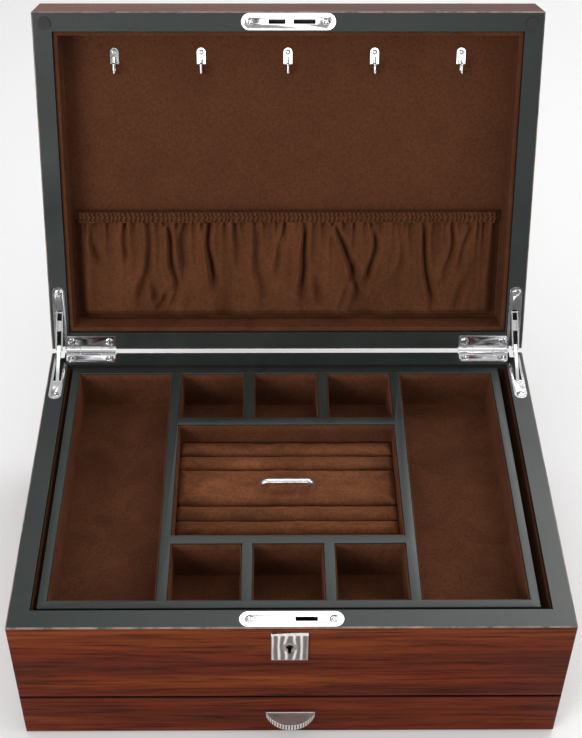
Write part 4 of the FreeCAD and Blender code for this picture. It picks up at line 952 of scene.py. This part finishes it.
def pad(name, low, high, swell, crown, seed, replaces):
    """A foam roll or pad in velvet: crowned, uneven along its length, pulled in at its ends."""
    mesh = bmesh.new()
    inset = Vector((0.0, swell * 0.5, swell * 0.5))
    start, end = low + inset, high - Vector((inset.x, inset.y, inset.z * 0.4))
    block(mesh, start, end)
    ease(mesh, square_edges(mesh, end.z), crown, 6)
    ease(mesh, square_edges(mesh, start.z), 0.8 * MM, 2)
    ruled(mesh, 0, evenly(start.x + crown, end.x - crown, PAD_STEP))
    if end.y - start.y > 20 * MM:
        ruled(mesh, 1, evenly(start.y + crown, end.y - crown, PAD_STEP))
    for vert in mesh.verts:
        along = vert.co.x / (19.0 * MM) + seed
        up = max(0.0, (vert.co.z - start.z) / (end.z - start.z))
        dent = noise.noise(Vector((along, vert.co.y / (16.0 * MM), seed)))
        fine = noise.noise(Vector((along * 3.1, vert.co.y / (6.0 * MM), seed + 4.0)))
        vert.co.z += up * (0.55 * dent + 0.30 * fine) * MM
        vert.co.y += 0.25 * MM * up * noise.noise(Vector((along * 1.7, seed, 2.0)))
    piece = make_piece(name, mesh, "tray", "velvet", replaces=replaces, sharp=180.0)
    swelled(piece, low, high, swell)


def swelled(piece, low, high, swell):
    """Blows a pad up under pressure while its underside stays glued, then keeps it near its block."""
    scene = bpy.context.scene
    work = bpy.data.objects.new(piece.name + "_work", piece.data.copy())
    scene.collection.objects.link(work)
    work.data.transform(Matrix.Scale(WORK_SCALE, 4))
    remesh = work.modifiers.new("even", "REMESH")
    remesh.mode = "VOXEL"
    remesh.voxel_size = VOXEL
    graph = bpy.context.evaluated_depsgraph_get()
    even = bpy.data.meshes.new_from_object(work.evaluated_get(graph))
    work.modifiers.clear()
    work.data = even
    start = [vert.co.copy() for vert in even.vertices]
    glued = work.vertex_groups.new(name="glued")
    floor = min(co.z for co in start) + 1.0 * MM * WORK_SCALE
    glued.add([n for n, co in enumerate(start) if co.z < floor], 1.0, "REPLACE")
    cloth = work.modifiers.new("cloth", "CLOTH")
    cloth.settings.use_pressure = True
    cloth.settings.uniform_pressure_force = PRESSURE
    cloth.settings.effector_weights.gravity = 0.0
    cloth.settings.vertex_group_mass = "glued"
    cloth.settings.quality = 5
    cloth.point_cache.frame_start, cloth.point_cache.frame_end = 1, LAST_FRAME
    for number in range(1, LAST_FRAME + 1):
        scene.frame_set(number)
    graph = bpy.context.evaluated_depsgraph_get()
    blown = bpy.data.meshes.new_from_object(work.evaluated_get(graph))
    limit = swell * WORK_SCALE
    for vert, co in zip(blown.vertices, start):
        move = vert.co - co
        if move.length > limit:
            vert.co = co + move.normalized() * limit
    blown.transform(Matrix.Scale(1.0 / WORK_SCALE, 4))
    for vert in blown.vertices:
        vert.co.x = min(max(vert.co.x, low.x), high.x)
        vert.co.y = min(max(vert.co.y, low.y - 0.2 * MM), high.y + 0.2 * MM)
        vert.co.z = max(vert.co.z, low.z)
    blown.materials.clear()
    blown.materials.append(MATERIALS["velvet"])
    blown.shade_smooth()
    scene.frame_set(1)
    bpy.data.objects.remove(work)
    piece.data = blown


# Each fold of the pocket: its place across, how far it leans by the bottom, how deep down it runs,
# its depth and its width, the last two in metres.
FOLDS = (
    (0.045, 0.010, 0.50, 1.6 * MM, 3.2 * MM),
    (0.120, -0.006, 0.45, 1.3 * MM, 2.6 * MM),
    (0.175, -0.012, 0.95, 1.8 * MM, 3.0 * MM),
    (0.212, 0.016, 0.86, 3.4 * MM, 2.8 * MM),
    (0.262, -0.020, 0.80, 1.7 * MM, 3.6 * MM),
    (0.318, 0.010, 0.72, 3.6 * MM, 2.6 * MM),
    (0.375, -0.006, 0.55, 1.4 * MM, 2.8 * MM),
    (0.430, 0.020, 0.95, 1.9 * MM, 3.4 * MM),
    (0.492, -0.010, 0.60, 1.5 * MM, 2.8 * MM),
    (0.545, 0.012, 0.85, 3.0 * MM, 2.6 * MM),
    (0.610, 0.058, 0.90, 3.0 * MM, 3.0 * MM),
    (0.700, -0.012, 0.75, 2.6 * MM, 2.6 * MM),
    (0.765, 0.012, 0.60, 1.4 * MM, 2.8 * MM),
    (0.824, 0.004, 1.00, 3.2 * MM, 2.4 * MM),
    (0.880, 0.010, 0.70, 1.7 * MM, 3.0 * MM),
    (0.940, -0.010, 0.55, 1.4 * MM, 2.6 * MM),
)


# Short creases where the slack cloth falls in: where each starts and ends, across and down,
# then its depth and its width in metres.
CREASES = (
    ((0.212, 0.48), (0.222, 0.68), 2.2 * MM, 2.2 * MM),
    ((0.222, 0.68), (0.192, 0.90), 2.8 * MM, 2.4 * MM),
    ((0.180, 0.58), (0.190, 0.88), 2.2 * MM, 2.4 * MM),
    ((0.568, 0.60), (0.580, 0.84), 2.2 * MM, 3.0 * MM),
    ((0.660, 0.42), (0.628, 0.92), 2.4 * MM, 2.4 * MM),
    ((0.930, 0.55), (0.905, 0.86), 1.6 * MM, 3.0 * MM),
)


def fold_height(across, down, width, drop):
    """How far the pocket's cloth stands out at a point, over its smooth belly."""
    height = 0.0
    for place, lean, reach, depth, spread in FOLDS:
        if down > reach:
            continue
        strays = noise.noise(Vector((place * 60.0, down * 2.2, 21.0)))
        strays -= noise.noise(Vector((place * 60.0, 0.0, 21.0)))
        middle = place + lean * down + 0.028 * strays
        offset = (across - middle) * width / (spread * (0.7 + 0.9 * down))
        if abs(offset) > 5.0:
            continue
        fade = min(1.0, (1.0 - down / reach) * 3.5) * min(1.0, 0.35 + down * 4.0)
        valley = -math.exp(-abs(offset) ** 1.5 * 2.2)
        ridge = 1.0 * math.exp(-((offset + 1.3) ** 2) * 1.1) + 0.5 * math.exp(-((offset - 1.7) ** 2))
        height += 1.5 * depth * fade * (valley + ridge)
    here = Vector((across * width, down * drop))
    for start, end, depth, spread in CREASES:
        first = Vector((start[0] * width, start[1] * drop))
        run = Vector((end[0] * width, end[1] * drop)) - first
        along = clamp((here - first).dot(run) / run.length_squared)
        gap = (here - first - run * along).length / spread
        if gap < 4.0:
            fade = 0.4 + 0.6 * math.sin(math.pi * along)
            height += depth * fade * (0.5 * math.exp(-((gap - 1.6) ** 2) * 2.5) - math.exp(-gap ** 1.5 * 1.5))
    return height


def gathers(across, down, width, pitch):
    """Small ruffles that hang from the band and die out into the folds."""
    jitter = 0.9 * noise.noise(Vector((across * 23.0, 0.0, 1.0)))
    tight = math.sin(2 * math.pi * (across * width / (pitch * 1.25) + jitter))
    loose = math.sin(2 * math.pi * (across * width / (pitch * 2.9) + 1.3 * jitter + 0.15))
    wide = noise.noise(Vector((across * width / (17.0 * MM), down * 0.9, 3.0)))
    fine = noise.noise(Vector((across * width / (7.0 * MM), down * 2.4, 8.0)))
    crumple = noise.noise(Vector((across * width / (2.6 * MM), down * 11.0, 13.0)))
    return MM * (
        1.2 * tight * math.exp(-down * 9.0) + 2.0 * loose * math.exp(-down * 5.0)
        + 3.4 * wide * min(1.0, down * 3.0) + 1.1 * fine * min(1.0, down * 4.0)
        + 0.35 * crumple * min(1.0, down * 5.0)
    )


def clamp(value):
    return min(1.0, max(0.0, value))


def smooth_step(value):
    value = clamp(value)
    return value * value * (3.0 - 2.0 * value)


def gathered_sheet(name, node, columns, rows, place):
    """A gathered skin on the lid's panel; place gives each point's position and its painted light, stored as
    relief.
    """
    mesh = bmesh.new()
    bmesh.ops.create_grid(mesh, x_segments=columns, y_segments=rows, size=0.5)
    relief = mesh.verts.layers.float.new("relief")
    for vert in mesh.verts:
        vert.co, vert[relief] = place(vert.co.x + 0.5, vert.co.y + 0.5)
    bmesh.ops.recalc_face_normals(mesh, faces=mesh.faces)
    if mesh.faces[:][0].normal.z > 0:
        bmesh.ops.reverse_faces(mesh, faces=mesh.faces)
    piece = make_piece(name, mesh, "lid", "pocket", True, (node,), 180.0, False)
    wall_thickness(piece, POCKET_CLOTH)


class JEWELRY_OT_pocket(BoxOperator):
    """Gathers the lid's pocket onto its elastic band"""

    bl_idname = "jewelry.pocket"
    bl_label = "Lid pocket"

    def execute(self, context):
        pitch = self.looks.cloth.gather
        low, high = lid_box("lid_pocket")
        band_low, band_high = lid_box("pocket_elastic")
        self.pouch(pitch, low, high, band_high)
        self.band(pitch, band_low, band_high)
        self.stitches(band_low, band_high)
        return {"FINISHED"}

    def pouch(self, pitch, low, high, band_high):
        """The pocket hangs from the band (low y) to its seam along the bottom of the panel (high y)."""
        top = band_high.y - 0.6 * MM
        width, drop, depth = high.x - low.x, high.y - top, high.z - low.z

        def place(across, down):
            side = smooth_step(min(across, 1.0 - across) * width / (9.0 * MM))
            sag = smooth_step((1.0 - down) * drop / (7.5 * MM))
            belly = (0.80 + 0.20 * smooth_step(down * 3.0)) * side * (0.10 + 0.90 * sag)
            fold = fold_height(across, down, width, drop) + gathers(across, down, width, pitch)
            stand = belly * (depth - 1.2 * MM) + fold * (min(side, sag) * 0.9 + 0.1)
            hem = 0.5 * MM * noise.noise(Vector((across * 14.0, 0.0, 5.0))) * down
            # Painted shade: darker in the fold valleys and towards the pocket's sides and bottom seam.
            painted_light = clamp(0.62 + fold / (7.5 * MM)) * (0.45 + 0.55 * min(side, sag))
            point = Vector((low.x + across * width, top + down * drop - hem, high.z - max(0.3 * MM, stand)))
            return point, painted_light

        gathered_sheet("gathered_pocket", "lid_pocket", 380, 84, place)

    def band(self, pitch, low, high):
        """Two rows of tight ruffles over the elastic, with a frill above them."""
        width, tall, depth = high.x - low.x, high.y - low.y, high.z - low.z

        def place(across, down):
            jitter = 0.55 * noise.noise(Vector((across * 31.0, 0.0, 2.0)))
            wave = math.sin(2 * math.pi * (across * width / pitch + jitter + 0.12 * math.sin(down * 9.0)))
            rows = math.sin(math.pi * min(1.0, down * 1.18) * 2.0) ** 2
            size = 0.35 + 0.65 * rows
            uneven = 0.75 + 0.5 * noise.noise(Vector((across * 55.0, down * 3.0, 6.0)))
            ends = smooth_step(min(across, 1.0 - across) * width / (5.0 * MM))
            stand = (depth - 2.0 * MM) * (0.25 + 0.75 * ends) + 1.5 * MM * wave * size * uneven
            lift = 0.35 * MM * wave * (1.0 - down)
            # Painted light: the ruffles' crests and the two rows lighter, the troughs darker.
            painted_light = clamp(0.40 + 0.30 * rows + 0.30 * wave * uneven)
            point = Vector((
                low.x + across * width, low.y + down * tall + lift, high.z - max(0.3 * MM, stand)
            ))
            return point, painted_light

        columns = int(width / pitch * 9)
        gathered_sheet("ruffled_band", "pocket_elastic", columns, 22, place)

    def stitches(self, low, high):
        """Two runs of thread through the band."""
        mesh = bmesh.new()
        proud = low.z + 1.6 * MM
        for run in (0.46, 0.93):
            level = low.y + run * (high.y - low.y)
            for across in evenly(low.x + 2 * MM, high.x - 2 * MM, 3.2 * MM):
                made = bmesh.ops.create_uvsphere(mesh, u_segments=6, v_segments=5, radius=0.16 * MM)["verts"]
                bmesh.ops.scale(mesh, vec=(3.4, 1.0, 1.0), verts=made)
                bmesh.ops.translate(mesh, vec=(across, level, proud), verts=made)
        make_piece("band_stitches", mesh, "lid", "thread", True)


class JEWELRY_OT_felt(BoxOperator):
    """Lays the felt under the case"""

    bl_idname = "jewelry.felt"
    bl_label = "Base felt"

    def execute(self, context):
        low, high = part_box("base_felt")
        mesh = bmesh.new()
        block(mesh, low, high)
        upright = [edge for edge in mesh.edges if abs(edge.verts[0].co.z - edge.verts[1].co.z) > TOUCH]
        ease(mesh, upright, 3 * MM)
        piece = make_piece("felt_pad", mesh, "case", "felt", replaces=("base_felt",))
        return {"FINISHED"}


FLOOR_HALF = 3.0
SENSOR = 36.0  # millimetres, as a camera's sensor is given
VIEW_SHIFT = (0.0171, -0.0606)

# Each lamp's place, what it is turned to, its width and height, and its power in watts.
LAMPS = {
    "front_left": ((-1.05, -1.25, 0.80), (0.0, 0.1, 0.17), (0.8, 0.7), 15.0),
    "front": ((0.1, -1.55, 0.62), (0.0, 0.1, 0.2), (0.7, 0.3), 2.0),
    "overhead": ((0.0, 0.1, 1.7), (0.0, 0.0, 0.1), (1.0, 0.8), 2.5),
    "back_strip": ((0.0, 0.72, 1.20), (0.0, -0.1, 0.1), (0.6, 0.45), 1.4),
    "back_right": ((0.66, 0.70, 1.15), (0.15, -0.1, 0.1), (0.7, 0.6), 6.0),
    "right": ((1.2, -0.35, 0.7), (0.0, 0.0, 0.1), (0.5, 0.7), 2.5),
}


class JEWELRY_OT_stage(BoxOperator):
    """Sets the floor, the light and the camera"""

    bl_idname = "jewelry.stage"
    bl_label = "Stage"

    def execute(self, context):
        stage = self.looks.stage
        mesh = bmesh.new()
        bmesh.ops.create_grid(mesh, x_segments=1, y_segments=1, size=FLOOR_HALF)
        data = bpy.data.meshes.new("floor")
        mesh.to_mesh(data)
        mesh.free()
        finish = Finish("pale_floor")
        finish.surface(Base_Color=solid(stage.floor), Roughness=0.9, Specular_IOR_Level=0.1)
        data.materials.append(finish.made)
        floor = bpy.data.objects.new("floor", data)
        context.scene.collection.objects.link(floor)
        self.sky(stage)
        for name, facts in LAMPS.items():
            self.lamp(name, *facts)
        self.camera(stage)
        context.scene.view_settings.view_transform = "Standard"
        return {"FINISHED"}

    def sky(self, stage):
        """Bright overhead and grey towards the horizon, so that polished metal has something to show."""
        sky = Finish("soft_sky", "worlds", "Background")
        direction = sky.add("TexCoord").outputs["Generated"]
        height = sky.add("SeparateXYZ", {"Vector": direction}).outputs["Z"]
        tint = sky.ramp(sky.remap(height, 0.0, 1.0, -1.0), (0.50, (0.20, 0.20, 0.21)), (0.92, grey(1.0)))
        bpy.context.scene.world = sky.surface(Color=tint, Strength=stage.sky)

    def lamp(self, name, place, target, size, power):
        data = bpy.data.lights.new(name, "AREA")
        data.shape = "RECTANGLE"
        data.size, data.size_y = size
        data.energy = power
        lamp = bpy.data.objects.new(name, data)
        lamp.location = place
        aim = Vector(target) - Vector(place)
        lamp.rotation_euler = aim.to_track_quat("-Z", "Y").to_euler()
        bpy.context.scene.collection.objects.link(lamp)

    def camera(self, stage):
        data = bpy.data.cameras.new("camera")
        data.lens = stage.lens
        data.sensor_width = SENSOR
        data.shift_x, data.shift_y = VIEW_SHIFT
        data.clip_start, data.clip_end = 0.02, 20.0
        camera = bpy.data.objects.new("camera", data)
        bpy.context.scene.collection.objects.link(camera)
        turned = Matrix.Rotation(stage.yaw, 4, "Z") @ Matrix.Rotation(math.pi / 2 - stage.pitch, 4, "X")
        camera.matrix_world = Matrix.Translation(stage.eye) @ turned @ Matrix.Rotation(-stage.roll, 4, "Z")
        bpy.context.scene.camera = camera


STEPS = (
    JEWELRY_OT_stage, JEWELRY_OT_finishes, JEWELRY_OT_boards, JEWELRY_OT_tray_frame,
    JEWELRY_OT_tray_linings, JEWELRY_OT_wall_linings, JEWELRY_OT_hardware, JEWELRY_OT_escutcheon,
    JEWELRY_OT_screws, JEWELRY_OT_pull, JEWELRY_OT_pads, JEWELRY_OT_pocket, JEWELRY_OT_felt,
)


class BoxLooks(bpy.types.PropertyGroup):
    """Everything that can be changed about the box's looks."""

    wood: bpy.props.PointerProperty(type=WoodSettings)
    cloth: bpy.props.PointerProperty(type=ClothSettings)
    metal: bpy.props.PointerProperty(type=MetalSettings)
    stage: bpy.props.PointerProperty(type=StageSettings)


class JEWELRY_PT_panel(bpy.types.Panel):
    """Lists the box's pieces in the order that they are made"""

    bl_idname = "JEWELRY_PT_panel"
    bl_label = "Jewelry Box"
    bl_space_type = "VIEW_3D"
    bl_region_type = "UI"
    bl_category = "Jewelry Box"

    def draw(self, context):
        for step in STEPS:
            self.layout.operator(step.bl_idname)
        looks = context.scene.jewelry_box
        for group in (looks.wood, looks.cloth, looks.metal, looks.stage):
            column = self.layout.box().column()
            for key in group.__annotations__:
                column.prop(group, key)


CLASSES = (WoodSettings, ClothSettings, MetalSettings, StageSettings, BoxLooks, *STEPS, JEWELRY_PT_panel)


def register():
    for item in CLASSES:
        bpy.utils.register_class(item)
    bpy.types.Scene.jewelry_box = bpy.props.PointerProperty(type=BoxLooks)


def unregister():
    del bpy.types.Scene.jewelry_box
    for item in reversed(CLASSES):
        bpy.utils.unregister_class(item)


def main():
    register()
    for step in STEPS:
        group, name = step.bl_idname.split(".")
        getattr(getattr(bpy.ops, group), name)()


if __name__ == "__main__":
    main()
